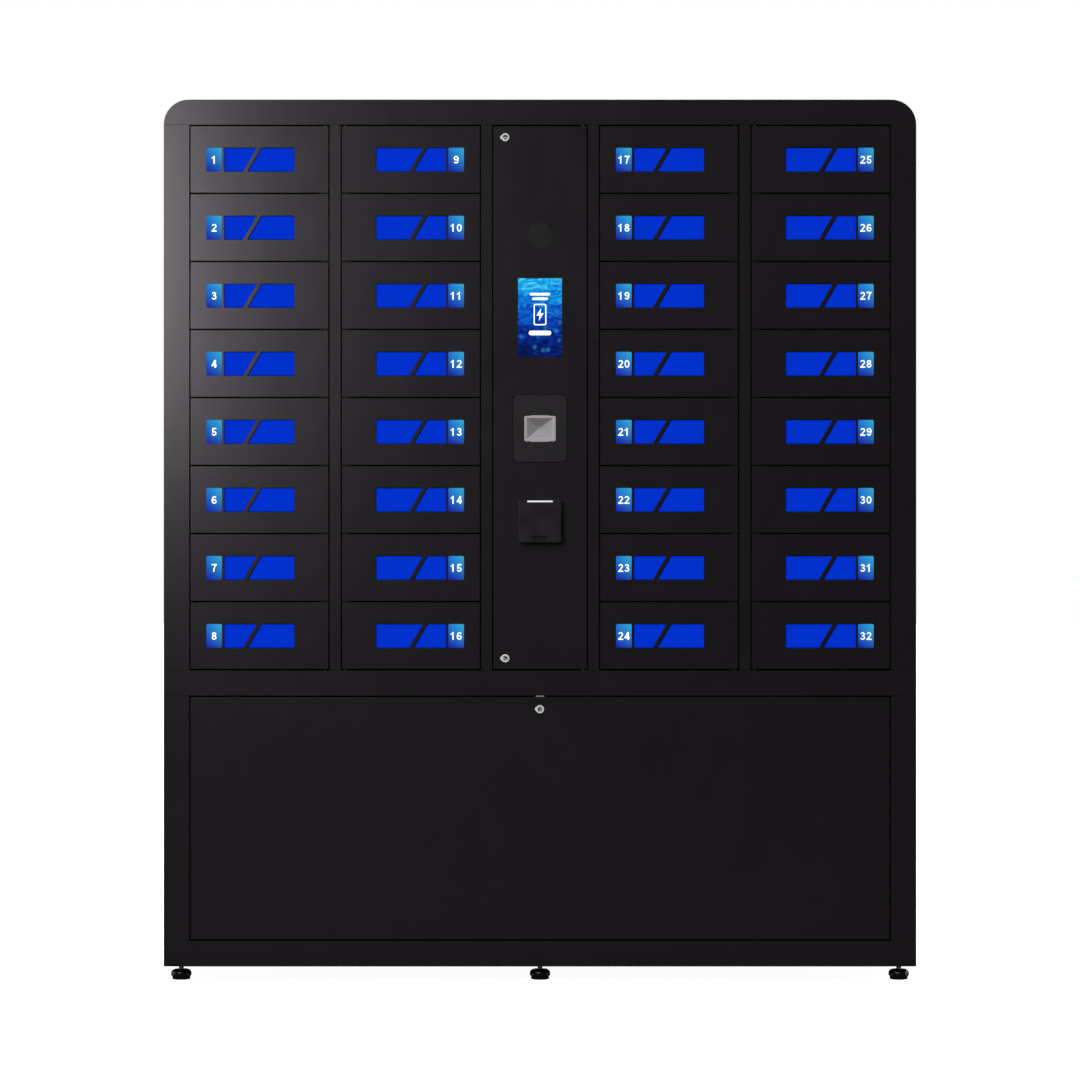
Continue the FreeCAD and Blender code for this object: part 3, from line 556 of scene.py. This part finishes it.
coat = powder_coat("powder_coat_black", (0.0088, 0.0065, 0.0088), 0.28, 0.315)
# The locker cells' coat is painted darker and duller than the door coat, as painted shade, so that
# the gaps between the doors read black.
shaded_inner_coat = powder_coat("inner_coat_painted_shade", (0.0035, 0.0030, 0.0035), 0.55, 0.65, specular=0.2)
plate_coat = powder_coat("plate_coat", (0.0125, 0.0105, 0.0125), 0.34, 0.40, grain=0.06)
black_plastic = moulded_plastic("black_plastic", (0.010, 0.0090, 0.010), 0.34)
reader_plastic = moulded_plastic("reader_plastic", (0.0105, 0.0082, 0.0105), 0.36)
lock_plastic = moulded_plastic("lock_plastic", (0.012, 0.012, 0.013), 0.5)
grey_plastic = funnel_plastic(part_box("barcode_scanner")[0].y)
foot_paint = foot_finish()
drawn_out = (1, 1, 0.15)
zinc = worked_metal("zinc_plate", (0.45, 0.44, 0.44), 0.42, drawn_out, metallic=0.0)
dark_steel = worked_metal("dark_steel", (0.05, 0.048, 0.05), 0.42, drawn_out, metallic=0.5)
nickel = worked_metal("satin_nickel", (0.95, 0.95, 0.95), 0.42, (1, 1, 1), metallic=0.0, grain=0.06)
window_blue = lit_window()
tile_print = number_tile()
white = white_print()
picture = display_image()
bar_light = light_bar()
glass = black_glass()
# painted shade for the inside of the card slot
slot_shade = moulded_plastic("slot_shade", (0.006, 0.0055, 0.006), 0.6, specular=0.2)
shadow_black = moulded_plastic("shadow_black", (0.0015, 0.0013, 0.0015), 0.8, specular=0.05)
# painted shade for the gap round a lock's plug
groove_shade = moulded_plastic("groove_shade", (0.12, 0.12, 0.12), 0.5)
# painted highlight for the edges of the speaker's holes
rim_highlight = moulded_plastic("rim_highlight", (0.06, 0.058, 0.06), 0.4)


# ---- cabinet ------------------------------------------------------------------------

for name in ("top_cover", "side_panels", "face_frame", "back_panel", "console_door", "access_door"):
    finish_cad(name, coat, 0.5 * MM)
finish_cad("base_and_deck", coat, 0.4 * MM)
finish_cad("locker_cells", shaded_inner_coat, 0.0)
finish_cad("electronic_locks", lock_plastic, 0.8 * MM)
finish_cad("charging_outlets", black_plastic, 0.8 * MM)
finish_cad("hinges_and_strike", dark_steel, 0.3 * MM)
strike_place = (0.0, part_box("access_door")[1].z)
paint_part("hinges_and_strike", zinc, strike_place, reach=10 * MM)
finish_cad("power_and_control", lock_plastic, 0.8 * MM)
finish_cad("touchscreen", glass, 0.3 * MM)
finish_cad("scanner_plate", plate_coat, 0.3 * MM)
finish_cad("barcode_scanner", grey_plastic, 0.0)
finish_cad("speaker", black_plastic, 0.0)
for name in (
    "console_lock_barrels", "console_lock_plug_upper", "console_lock_plug_lower",
    "access_lock_barrel", "access_lock_plug",
):
    finish_cad(name, nickel, 0.4 * MM, segments=3)
for number in range(1, FOOT_COUNT + 1):
    finish_cad("levelling_foot_%d" % number, foot_paint, 0.4 * MM)


# ---- locker doors -------------------------------------------------------------------

def sort_door_shells(node_name):
    """A door node's shells by what they are: pan, pane, tile and striker."""
    tall = 120 * MM          # only the pan is as tall as this
    deep = 30 * MM           # only the striker, of the others, is as deep
    wide = 100 * MM          # the pane is wider than this and the tile is not
    shells = {}
    for shell in islands(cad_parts[node_name].data):
        low, high = extent(shell)
        size = high - low
        if size.z > tall:
            shells["pan"] = shell
        elif size.y > deep:
            shells["striker"] = shell
        elif size.x > wide:
            shells["pane"] = shell
        else:
            shells["tile"] = shell
    return shells


def window_quads(pan):
    """The pan's window cut-outs, as (x, z) corners from each cut-out's lower left."""
    margin = 30 * MM         # the pan's flanges and pin holes lie within this of its sides
    low, high = extent(pan)
    corners = {
        (round(vertex.co.x, 6), round(vertex.co.z, 6)) for vertex in pan.verts
        if margin < vertex.co.x - low.x < high.x - low.x - margin
        and margin < vertex.co.z - low.z < high.z - low.z - margin
    }
    sill = min(z for _, z in corners)
    head = max(z for _, z in corners)
    feet = sorted(x for x, z in corners if z < sill + MM)
    tops = sorted(x for x, z in corners if z > head - MM)
    return [
        [(feet[first], sill), (feet[first + 1], sill), (tops[first + 1], head),
         (tops[first], head)]
        for first in (0, 2)
    ]


def inset_quad(quad, gap, radius, shift, steps=4):
    """A four-sided outline moved in by a gap and then shifted, with rounded corners."""
    lines = []
    for index, start in enumerate(quad):
        stop = quad[(index + 1) % 4]
        along = Vector((stop[0] - start[0], stop[1] - start[1])).normalized()
        inwards = Vector((-along.y, along.x))
        lines.append((Vector(start) + inwards * gap, along))
    corners = []
    for index in range(4):
        (first, first_along), (second, second_along) = lines[index - 1], lines[index]
        cross = first_along.cross(second_along)
        reach = (second - first).cross(second_along) / cross
        corners.append(first + first_along * reach)
    points = []
    for index, corner in enumerate(corners):
        before = (corners[index - 1] - corner).normalized() * radius
        after = (corners[(index + 1) % 4] - corner).normalized() * radius
        for step in range(steps + 1):
            share = step / steps
            bend = corner + before * (1 - share) ** 2 + after * share ** 2 + shift
            points.append((bend.x, bend.y))
    return points


WINDOW_CORNER = 1.6 * MM
SKIN = 1.5 * MM              # the thickness of a door's sheet
LENS_SETBACK = 0.9 * MM      # from the sheet's face to the face of a window's lens
LENS_GAP = 0.8 * MM          # between the lens and its cut-out, before the shift
LENS_SHIFT = Vector((0.4 * MM, -0.5 * MM))       # towards the cut-out's right and low edges, so that the black pane shows as a wider painted shadow along the top and left edges


def door_meshes(node_name):
    """The meshes that every door of one hand shares, about the door's lowest corner."""
    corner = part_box(node_name)[0]
    shells = sort_door_shells(node_name)
    pan = shells["pan"]
    pan_low, pan_high = extent(pan)
    quads = window_quads(pan)
    rim = 10 * MM            # the pan's own corners lie within this of its sides
    near = 0.2 * MM

    def window_corner(edge):
        place = (edge.verts[0].co + edge.verts[1].co) / 2
        inside = min(
            place.x - pan_low.x, pan_high.x - place.x, place.z - pan_low.z, pan_high.z - place.z)
        return runs_along_y(edge) and inside > rim

    round_edges(pan, WINDOW_CORNER, segments=4, chosen=window_corner)
    for vertex in pan.verts:
        for plane in (pan_low.y, pan_low.y + SKIN):
            if abs(vertex.co.y - plane) < near:
                vertex.co.y = plane
    # the pane behind each lens is shadow_black, so the gap round each lens shows as painted shadow
    looks = {
        "pan": (coat, 0.35 * MM), "pane": (shadow_black, 0.3 * MM),
        "tile": (tile_print, 0.12 * MM), "striker": (zinc, 0.3 * MM),
    }
    meshes = {}
    for kind, shell in shells.items():
        material, radius = looks[kind]
        bmesh.ops.translate(shell, vec=-corner, verts=shell.verts)
        mesh = mesh_from(shell, "door_" + kind)
        dress(mesh, material)
        meshes[kind] = (mesh, radius)
    map_front(meshes["tile"][0], "tile")

    outlines = [
        inset_quad(quad, LENS_GAP, WINDOW_CORNER - LENS_GAP, LENS_SHIFT) for quad in quads]
    lens = flat_shape(outlines, pan_low.y + LENS_SETBACK, SKIN - LENS_SETBACK)
    lens.transform(Matrix.Translation(-corner))
    map_front(lens, "window")
    lens.materials.append(window_blue)
    meshes["lens"] = (lens, 0.0)
    return meshes


DIGIT_HEIGHT = 15.5 * MM
DIGIT_WIDTH = 0.66       # width, pitch and stroke are shares of the digit's height
DIGIT_PITCH = 0.79
STROKE = 0.15
DIGIT_THICKNESS = 0.1 * MM
DIGIT_LIFT = 0.06 * MM   # how far a digit's face stands off its tile


def ribbon(points, closed=False):
    """The outline of a stroke of even width along a line of points."""
    if closed:
        return [ribbon_edge(points, STROKE / 2, True), ribbon_edge(points, -STROKE / 2, True)]
    return [
        ribbon_edge(points, STROKE / 2, False) + ribbon_edge(points, -STROKE / 2, False)[::-1]]


def ribbon_edge(points, reach, closed):
    """The points of a line moved sideways by a distance."""
    count = len(points)
    edge = []
    for index, (x, z) in enumerate(points):
        if closed:
            before = points[index - 1]
            after = points[(index + 1) % count]
        else:
            before = points[max(index - 1, 0)]
            after = points[min(index + 1, count - 1)]
        along_x = after[0] - before[0]
        along_z = after[1] - before[1]
        length = math.hypot(along_x, along_z)
        edge.append((x - reach * along_z / length, z + reach * along_x / length))
    return edge


def arc(centre_x, centre_z, radius_x, radius_z, start, stop, steps):
    """Points along part of an ellipse, between two angles in degrees."""
    points = []
    for step in range(steps + 1):
        angle = math.radians(start + (stop - start) * step / steps)
        points.append(
            (centre_x + radius_x * math.cos(angle), centre_z + radius_z * math.sin(angle)))
    return points


def block(low_x, low_z, high_x, high_z):
    return [[(low_x, low_z), (high_x, low_z), (high_x, high_z), (low_x, high_z)]]


def turned_round(shapes):
    return [
        [[(DIGIT_WIDTH - x, 1 - z) for x, z in outline] for outline in shape] for shape in shapes]


def digit_shapes():
    """The ten digits as groups of outlines in a bold sans-serif, one unit high."""
    flag = [
        (0.25, 0.0), (0.415, 0.0), (0.415, 1.0), (0.285, 1.0), (0.24, 0.92), (0.17, 0.845),
        (0.04, 0.775), (0.04, 0.62), (0.155, 0.665), (0.25, 0.725),
    ]
    ring = arc(0.33, 0.5, 0.235, 0.405, 0, 360, 28)[:-1]
    six = [
        ribbon(arc(0.335, 0.31, 0.23, 0.215, 0, 360, 24)[:-1], True),
        ribbon(arc(0.35, 0.5, 0.25, 0.405, 38, 200, 18)),
    ]
    return {
        "0": [ribbon(ring, True)],
        "1": [[flag]],
        "2": [
            ribbon(arc(0.325, 0.70, 0.225, 0.205, 168, -38, 16) + [(0.11, 0.10)]),
            block(0.01, 0.0, 0.655, 0.17),
        ],
        "3": [
            ribbon(arc(0.315, 0.735, 0.20, 0.17, 165, -90, 16)),
            ribbon(arc(0.315, 0.30, 0.235, 0.205, 90, -165, 18)),
            block(0.235, 0.47, 0.33, 0.60),
        ],
        "4": [
            block(0.385, 0.0, 0.565, 1.0),
            block(0.005, 0.205, 0.66, 0.37),
            ribbon([(0.095, 0.30), (0.435, 0.93)]),
        ],
        "5": [
            block(0.135, 0.83, 0.61, 1.0),
            ribbon([(0.205, 0.93), (0.125, 0.455)]),
            ribbon(arc(0.315, 0.315, 0.235, 0.22, 142, -165, 20)),
        ],
        "6": six,
        "7": [
            block(0.02, 0.83, 0.645, 1.0),
            ribbon([(0.555, 0.92), (0.44, 0.72), (0.35, 0.50), (0.29, 0.26), (0.27, 0.0)]),
        ],
        "8": [
            ribbon(arc(0.33, 0.735, 0.195, 0.17, 0, 360, 24)[:-1], True),
            ribbon(arc(0.33, 0.295, 0.23, 0.20, 0, 360, 24)[:-1], True),
        ],
        "9": turned_round(six),
    }


def digit_meshes():
    """One thin mesh per digit, with its origin at the middle of the digit's front."""
    meshes = {}
    for digit, shapes in digit_shapes().items():
        whole = bmesh.new()
        for shape in shapes:
            outlines = [
                [((x - DIGIT_WIDTH / 2) * DIGIT_HEIGHT, (z - 0.5) * DIGIT_HEIGHT)
                 for x, z in outline]
                for outline in shape
            ]
            part = flat_shape(outlines, 0.0, DIGIT_THICKNESS)
            whole.from_mesh(part)
            bpy.data.meshes.remove(part)
        meshes[digit] = mesh_from(whole, "digit_" + digit)
    return meshes


def number_mesh(text, digits, place):
    """A bold number that stands just proud of its tile, centred at a place."""
    whole = bmesh.new()
    pitch = DIGIT_PITCH * DIGIT_HEIGHT
    for index, digit in enumerate(text):
        part = digits[digit].copy()
        shift = (index - (len(text) - 1) / 2) * pitch
        part.transform(Matrix.Translation(place + Vector((shift, 0.0, 0.0))))
        whole.from_mesh(part)
        bpy.data.meshes.remove(part)
    return mesh_from(whole, "number_" + text)


def locker_doors():
    hands = {name: door_meshes(name) for name in (LEFT_TEMPLATE, RIGHT_TEMPLATE)}
    digits = digit_meshes()
    for number in range(1, DOOR_COUNT + 1):
        node = "locker_door_%02d" % number
        column = (number - 1) // DOORS_IN_COLUMN
        meshes = hands[LEFT_TEMPLATE if column % 2 == 0 else RIGHT_TEMPLATE]
        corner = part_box(node)[0]
        for kind, (mesh, radius) in meshes.items():
            item = add_object("door_%02d_%s" % (number, kind), mesh)
            item.location = corner
            if radius:
                soften(item, radius)
            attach(item, node)
            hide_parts(node)
        tile = [vertex.co for vertex in meshes["tile"][0].vertices]
        place = corner + Vector((
            (min(v.x for v in tile) + max(v.x for v in tile)) / 2,
            min(v.y for v in tile) - DIGIT_LIFT,
            (min(v.z for v in tile) + max(v.z for v in tile)) / 2,
        ))
        mesh = number_mesh(str(number), digits, place)
        # the numbers glow with painted light, as their tile does
        piece(mesh, "door_%02d_number" % number, white, node)


locker_doors()


# ---- console details ----------------------------------------------------------------

SCREEN_WIDTH = 86.0 * MM
SCREEN_HEIGHT = 154.2 * MM
PHONE_WIDTH = 25.0 * MM      # the phone in the charging symbol
PHONE_HEIGHT = 42.0 * MM
PHONE_CORNER = 4.0 * MM
PHONE_LINE = 2.2 * MM
BOLT = ((2.6, 13.0), (-7.0, -2.0), (-0.8, -2.0), (-2.6, -13.0), (7.0, 2.4), (0.8, 2.4))


def screen():
    """The lit picture in the screen's cut-out, with a plain charging symbol on it."""
    low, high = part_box("touchscreen")
    middle = (low + high) / 2
    picture_y = low.y - 0.15 * MM
    print_y = low.y - 0.25 * MM
    print_thickness = 0.08 * MM
    outline = rounded_outline(0.0, middle.z, SCREEN_WIDTH, SCREEN_HEIGHT, 0.2 * MM)
    mesh = flat_shape([outline], picture_y, 0.1 * MM)
    map_front(mesh, "screen")
    piece(mesh, "screen_picture", picture, "console_door")

    phone_z = middle.z + 6 * MM
    outline = rounded_outline(0.0, phone_z, PHONE_WIDTH, PHONE_HEIGHT, PHONE_CORNER)
    inside = rounded_outline(
        0.0, phone_z, PHONE_WIDTH - 2 * PHONE_LINE, PHONE_HEIGHT - 2 * PHONE_LINE, 2.4 * MM)
    bolt = [(x * MM, phone_z + z * MM) for x, z in BOLT]
    symbol = flat_shape([outline, inside, bolt], print_y, print_thickness)
    piece(symbol, "screen_symbol", white, "console_door")

    bars = [                 # height above the screen's middle, width, thickness
        (46 * MM, 40 * MM, 5.2 * MM), (37 * MM, 31 * MM, 5.2 * MM), (-30 * MM, 44 * MM, 9 * MM),
    ]
    outlines = [
        rounded_outline(0.0, middle.z + rise, width, thickness, 0.49 * thickness)
        for rise, width, thickness in bars
    ]
    lines = flat_shape(outlines, print_y, print_thickness)
    piece(lines, "screen_bars", white, "console_door")


READER_FACE = 14.0 * MM      # how far the reader's face and its lip stand off the door
READER_LIP = 16.0 * MM
READER_LIP_HEIGHT = 15.8 * MM
READER_CORNER = 2.0 * MM
READER_LIGHT = (25.4 * MM, 4.5 * MM)            # half width, height
READER_SLOT = (14.6 * MM, 3.0 * MM, 11.4 * MM)  # half width, low and high edge above the foot
READER_REAR = 30.0 * MM      # half the side of the block behind the door


def card_reader():
    """The reader's housing, with its lip and card slot below and its light bar above."""
    low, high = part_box("card_reader")
    face_y = front_y - READER_FACE
    lip_y = front_y - READER_LIP
    light_half, light_height = READER_LIGHT
    slot_half, slot_low, slot_high = READER_SLOT
    width = high.x - low.x
    centre_z = (low.z + high.z) / 2
    outline = rounded_outline(0.0, centre_z, width, high.z - low.z, READER_CORNER)
    left_half = next(index for index, (x, _) in enumerate(outline) if x < 0)
    notch = [
        (light_half, high.z), (light_half, high.z - light_height),
        (-light_half, high.z - light_height), (-light_half, high.z),
    ]
    face = flat_shape([outline[:left_half] + notch + outline[left_half:]], face_y, READER_FACE)
    lip_outline = rounded_outline(
        0.0, low.z + READER_LIP_HEIGHT / 2, width, READER_LIP_HEIGHT, READER_CORNER)
    slot = rounded_outline(
        0.0, low.z + (slot_low + slot_high) / 2, 2 * slot_half, slot_high - slot_low, 0.6 * MM)
    lip = flat_shape([lip_outline, slot], lip_y, READER_LIP - READER_FACE)
    rear = box_mesh(
        (-READER_REAR, front_y, centre_z - READER_REAR),
        (READER_REAR, high.y, centre_z + READER_REAR))
    for name, mesh, radius in (
        ("face", face, 1.0 * MM), ("lip", lip, 0.4 * MM), ("rear", rear, 1.0 * MM),
    ):
        item = piece(
            mesh, "reader_" + name, reader_plastic, "console_door", radius)
        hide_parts("card_reader")
    # A darker box at the back of the card slot, as painted shade in the slot.
    floor_of_slot = box_mesh(
        (-slot_half, face_y - 0.1 * MM, low.z + slot_low),
        (slot_half, face_y + 1 * MM, low.z + slot_high))
    piece(
        floor_of_slot, "reader_slot", slot_shade, "console_door", 0.05 * MM)
    bar_gap = 0.4 * MM       # at each end of the light bar
    bar_drop = 0.3 * MM
    bar_setback = 0.3 * MM
    bar_outline = rounded_outline(
        0.0, high.z - light_height / 2 - bar_drop, 2 * (light_half - bar_gap), 3 * MM, 1.4 * MM)
    bar = flat_shape([bar_outline], face_y + bar_setback, 4 * MM)
    light = piece(bar, "reader_light", bar_light, "console_door", 0.3 * MM)
    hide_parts("card_reader")


def circle(centre_x, centre_z, radius, steps=24):
    return arc(centre_x, centre_z, radius, radius, 0, 360, steps)[:-1]


LOCK_HEAD = 8.0 * MM
LOCK_LUG = 4.4 * MM
LOCK_LUG_OFFSET = 5.6 * MM
LOCK_PLUG = 5.5 * MM
CAM_END = 8.0 * MM       # from a lock's axis to the near end of its cam
# the painted shadow ring round a lock's head, where it stands on the door
HEAD_SHADOW_WIDTH = 1.3 * MM
HEAD_SHADOW_THICKNESS = 0.3 * MM
PLUG_SHADE_LIFT = 0.03 * MM    # how far the painted keyway shade and the groove ring stand off the plug's face
PLUG_SHADE_THICKNESS = 0.1 * MM
GROOVE_WIDTH = 0.35 * MM


def head_outline(centre_x, centre_z, lug_angle, grow, steps=48):
    """The outline of a lock's round head and the lug beside it, grown by a distance."""
    points = []
    for step in range(steps):
        angle = 2 * math.pi * step / steps
        turn = angle - lug_angle
        reach = LOCK_HEAD + grow
        lug = (LOCK_LUG + grow) ** 2 - (LOCK_LUG_OFFSET * math.sin(turn)) ** 2
        if lug > 0:
            reach = max(reach, LOCK_LUG_OFFSET * math.cos(turn) + math.sqrt(lug))
        points.append(
            (centre_x + reach * math.cos(angle), centre_z + reach * math.sin(angle)))
    return points


def lock_details(plug, body, key_turn):
    """A lock's painted shadow ring on the door round its head, the painted shade of its keyway on
    the plug's face, turned in degrees, and a grey ring as painted shade in the gap round the plug.
    """
    low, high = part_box(plug)
    if body == "console_door":
        x = (low.x + high.x) / 2
        z = high.z - CAM_END if plug.endswith("upper") else low.z + CAM_END
    else:
        x = high.x - CAM_END
        z = (low.z + high.z) / 2
    # painted shadow: a dark ring round the lock's head where it stands on the door
    head_shadow = flat_shape(
        [head_outline(x, z, math.pi, HEAD_SHADOW_WIDTH), circle(x, z, 0.9 * LOCK_HEAD)],
        front_y - HEAD_SHADOW_THICKNESS, HEAD_SHADOW_THICKNESS)
    piece(head_shadow, plug + "_seal", shadow_black, body)
    # painted shade of the recessed keyway: a dark arc above and a dash below, flat on the plug's
    # face
    hood = arc(0.0, -0.8 * MM, 5.0 * MM, 5.0 * MM, 10, 170, 12)
    hood += arc(0.0, -1.0 * MM, 2.7 * MM, 2.3 * MM, 170, 10, 12)
    dash = rounded_outline(0.0, -2.3 * MM, 5.2 * MM, 2.4 * MM, 0.9 * MM)
    marks = flat_shape([hood, dash], 0.0, PLUG_SHADE_THICKNESS)
    marks.transform(
        Matrix.Translation((x, low.y - PLUG_SHADE_LIFT, z))
        @ Matrix.Rotation(math.radians(key_turn), 4, "Y"))
    piece(marks, plug + "_marks", shadow_black, plug)
    # a grey ring at the plug's edge, painted shade of the gap between plug and barrel
    groove = flat_shape(
        [circle(x, z, LOCK_PLUG), circle(x, z, LOCK_PLUG - GROOVE_WIDTH)],
        low.y - PLUG_SHADE_LIFT, PLUG_SHADE_THICKNESS)
    piece(groove, plug + "_groove", groove_shade, plug)


HOLE_PITCH = 4.2 * MM
HOLE_RADIUS = 1.25 * MM
HOLE_SIDES = 12
RIM_WIDTH = 0.4 * MM
RIM_HEIGHT = 0.15 * MM
SPEAKER_LAP = 4.0 * MM   # how far the speaker reaches past the perforated patch
PLATE_SHADOW_WIDTH = 1.0 * MM  # how far the painted shadow line shows, and how far it reaches under the plate
PLATE_SHADOW_THICKNESS = 0.2 * MM
PLATE_CORNER = 11.0 * MM
STRIKE_HALF = 8.0 * MM
STRIKE_SETBACK = (0.5 * MM, 3.0 * MM)    # of its near and far face, from the kiosk's front
STRIKE_RISE = (0.9 * MM, 3.2 * MM)       # of its low and high edge, from the door's top


def speaker_rims():
    """A raised rim round every hole of the console door's perforated patch, coloured lighter than
    the door as a painted highlight where the holes' edges catch the light.
    """
    low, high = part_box("speaker")
    centre_z = (low.z + high.z) / 2
    reach = (high.x - low.x) / 2 - SPEAKER_LAP - HOLE_RADIUS
    row_pitch = HOLE_PITCH * math.sqrt(0.75)
    count = int(reach / row_pitch) + 1
    outlines = []
    for row in range(-count, count + 1):
        shift = HOLE_PITCH / 2 if row % 2 else 0.0
        for column in range(-count - 1, count + 2):
            x = column * HOLE_PITCH + shift
            z = row * row_pitch
            if math.hypot(x, z) <= reach:
                outlines.append(circle(x, centre_z + z, HOLE_RADIUS + RIM_WIDTH, HOLE_SIDES))
                outlines.append(circle(x, centre_z + z, HOLE_RADIUS, HOLE_SIDES))
    rims = flat_shape(outlines, front_y - RIM_HEIGHT, RIM_HEIGHT)
    piece(rims, "speaker_rims", rim_highlight, "console_door")


def plate_gasket():
    """A painted shadow line round the scanner's plate, where it lies on the door."""
    low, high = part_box("scanner_plate")
    outlines = [
        rounded_outline(
            (low.x + high.x) / 2, (low.z + high.z) / 2,
            high.x - low.x + 2 * grow, high.z - low.z + 2 * grow, PLATE_CORNER)
        for grow in (PLATE_SHADOW_WIDTH, -PLATE_SHADOW_WIDTH)
    ]
    plate_shadow = flat_shape(outlines, front_y - PLATE_SHADOW_THICKNESS, PLATE_SHADOW_THICKNESS)
    piece(plate_shadow, "scanner_plate_shadow_line", shadow_black, "console_door")


def strike_lip():
    """The folded lip on the strike that the access door's lock closes behind."""
    door_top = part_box("access_door")[1].z
    corners = [
        (side * STRIKE_HALF, front_y + setback, door_top + rise)
        for side, setback, rise in zip((-1, 1), STRIKE_SETBACK, STRIKE_RISE)
    ]
    piece(box_mesh(*corners), "strike_lip", zinc, "root", 0.2 * MM)


screen()
card_reader()
speaker_rims()
plate_gasket()
strike_lip()
lock_details("console_lock_plug_upper", "console_door", 0)
lock_details("console_lock_plug_lower", "console_door", 35)
lock_details("access_lock_plug", "access_door", -60)


# ---- the studio ---------------------------------------------------------------------

def studio_world():
    """White behind the kiosk, and only a dim even light on it."""
    world = bpy.data.worlds.new("studio")
    bpy.context.scene.world = world
    world.use_nodes = True
    tree = world.node_tree
    seen = tree.nodes["Background"]
    dim = tree.nodes.new("ShaderNodeBackground")
    for background, strength in ((seen, 1.0), (dim, 0.055)):
        background.inputs["Color"].default_value = (1.0, 1.0, 1.0, 1.0)
        background.inputs["Strength"].default_value = strength
    ray = tree.nodes.new("ShaderNodeLightPath")
    choice = tree.nodes.new("ShaderNodeMixShader")
    tree.links.new(ray.outputs["Is Camera Ray"], choice.inputs["Fac"])
    tree.links.new(dim.outputs["Background"], choice.inputs[1])
    tree.links.new(seen.outputs["Background"], choice.inputs[2])
    tree.links.new(choice.outputs["Shader"], tree.nodes["World Output"].inputs["Surface"])


def floor():
    bm = bmesh.new()
    bmesh.ops.create_grid(bm, x_segments=1, y_segments=1, size=30.0)
    mesh = mesh_from(bm, "floor")
    mesh.materials.append(pale_floor())
    ground = add_object("floor", mesh)
    ground.visible_glossy = False
    ground.visible_diffuse = False


def softbox(name, place, target, width, height, power, color=(1, 1, 1)):
    """A rectangular lamp at a place, turned to a target."""
    light = bpy.data.lights.new(name, "AREA")
    light.shape = "RECTANGLE"
    light.size = width
    light.size_y = height
    light.energy = power
    light.color = color
    lamp = add_object(name, light)
    lamp.location = place
    lamp.rotation_euler = (Vector(target) - Vector(place)).to_track_quat("-Z", "Y").to_euler()
    lamp.visible_camera = False


def sunlight(name, direction, strength, softness):
    """Even light from far away; direction points from the kiosk to the light."""
    light = bpy.data.lights.new(name, "SUN")
    light.energy = strength
    light.angle = math.radians(softness)
    lamp = add_object(name, light)
    lamp.rotation_euler = Vector(direction).to_track_quat("Z", "Y").to_euler()


FRONT_WIDTH = 2.1153     # what the square picture spans at the kiosk's front, in metres
CAMERA_RISE = 0.6 * MM   # above the middle of the kiosk's height
LENS = 120.0             # in millimetres, as is the sensor
SENSOR = 36.0


def camera():
    """Straight in front of the kiosk, with a long lens."""
    middle_z = (cad_low.z + cad_high.z) / 2
    data = bpy.data.cameras.new("camera")
    data.lens = LENS
    data.sensor_width = SENSOR
    view = add_object("camera", data)
    view.location = (0.0, front_y - FRONT_WIDTH * LENS / SENSOR, middle_z + CAMERA_RISE)
    view.rotation_euler = (math.radians(90), 0.0, 0.0)
    bpy.context.scene.camera = view


studio_world()
floor()
softbox(
    "key", (-1.15, -2.2, 1.62), (-0.86, -0.2, 1.48), width=0.22, height=1.0, power=16.6,
    color=(1.0, 0.93, 1.0))
softbox(
    "floor_bounce", (0.0, -1.9, 0.004), (0.0, -1.9, 1.0), width=3.6, height=3.0, power=2.5)
sunlight("high_front", (-0.30, -0.68, 0.62), strength=1.5, softness=45)
sunlight("high_back", (0.55, 0.60, 0.58), strength=1.6, softness=30)
sunlight("right_side", (0.95, 0.12, 0.28), strength=0.6, softness=40)
sunlight("left_side", (-0.95, 0.12, 0.28), strength=0.45, softness=40)
camera()
bpy.context.scene.view_settings.view_transform = "Standard"
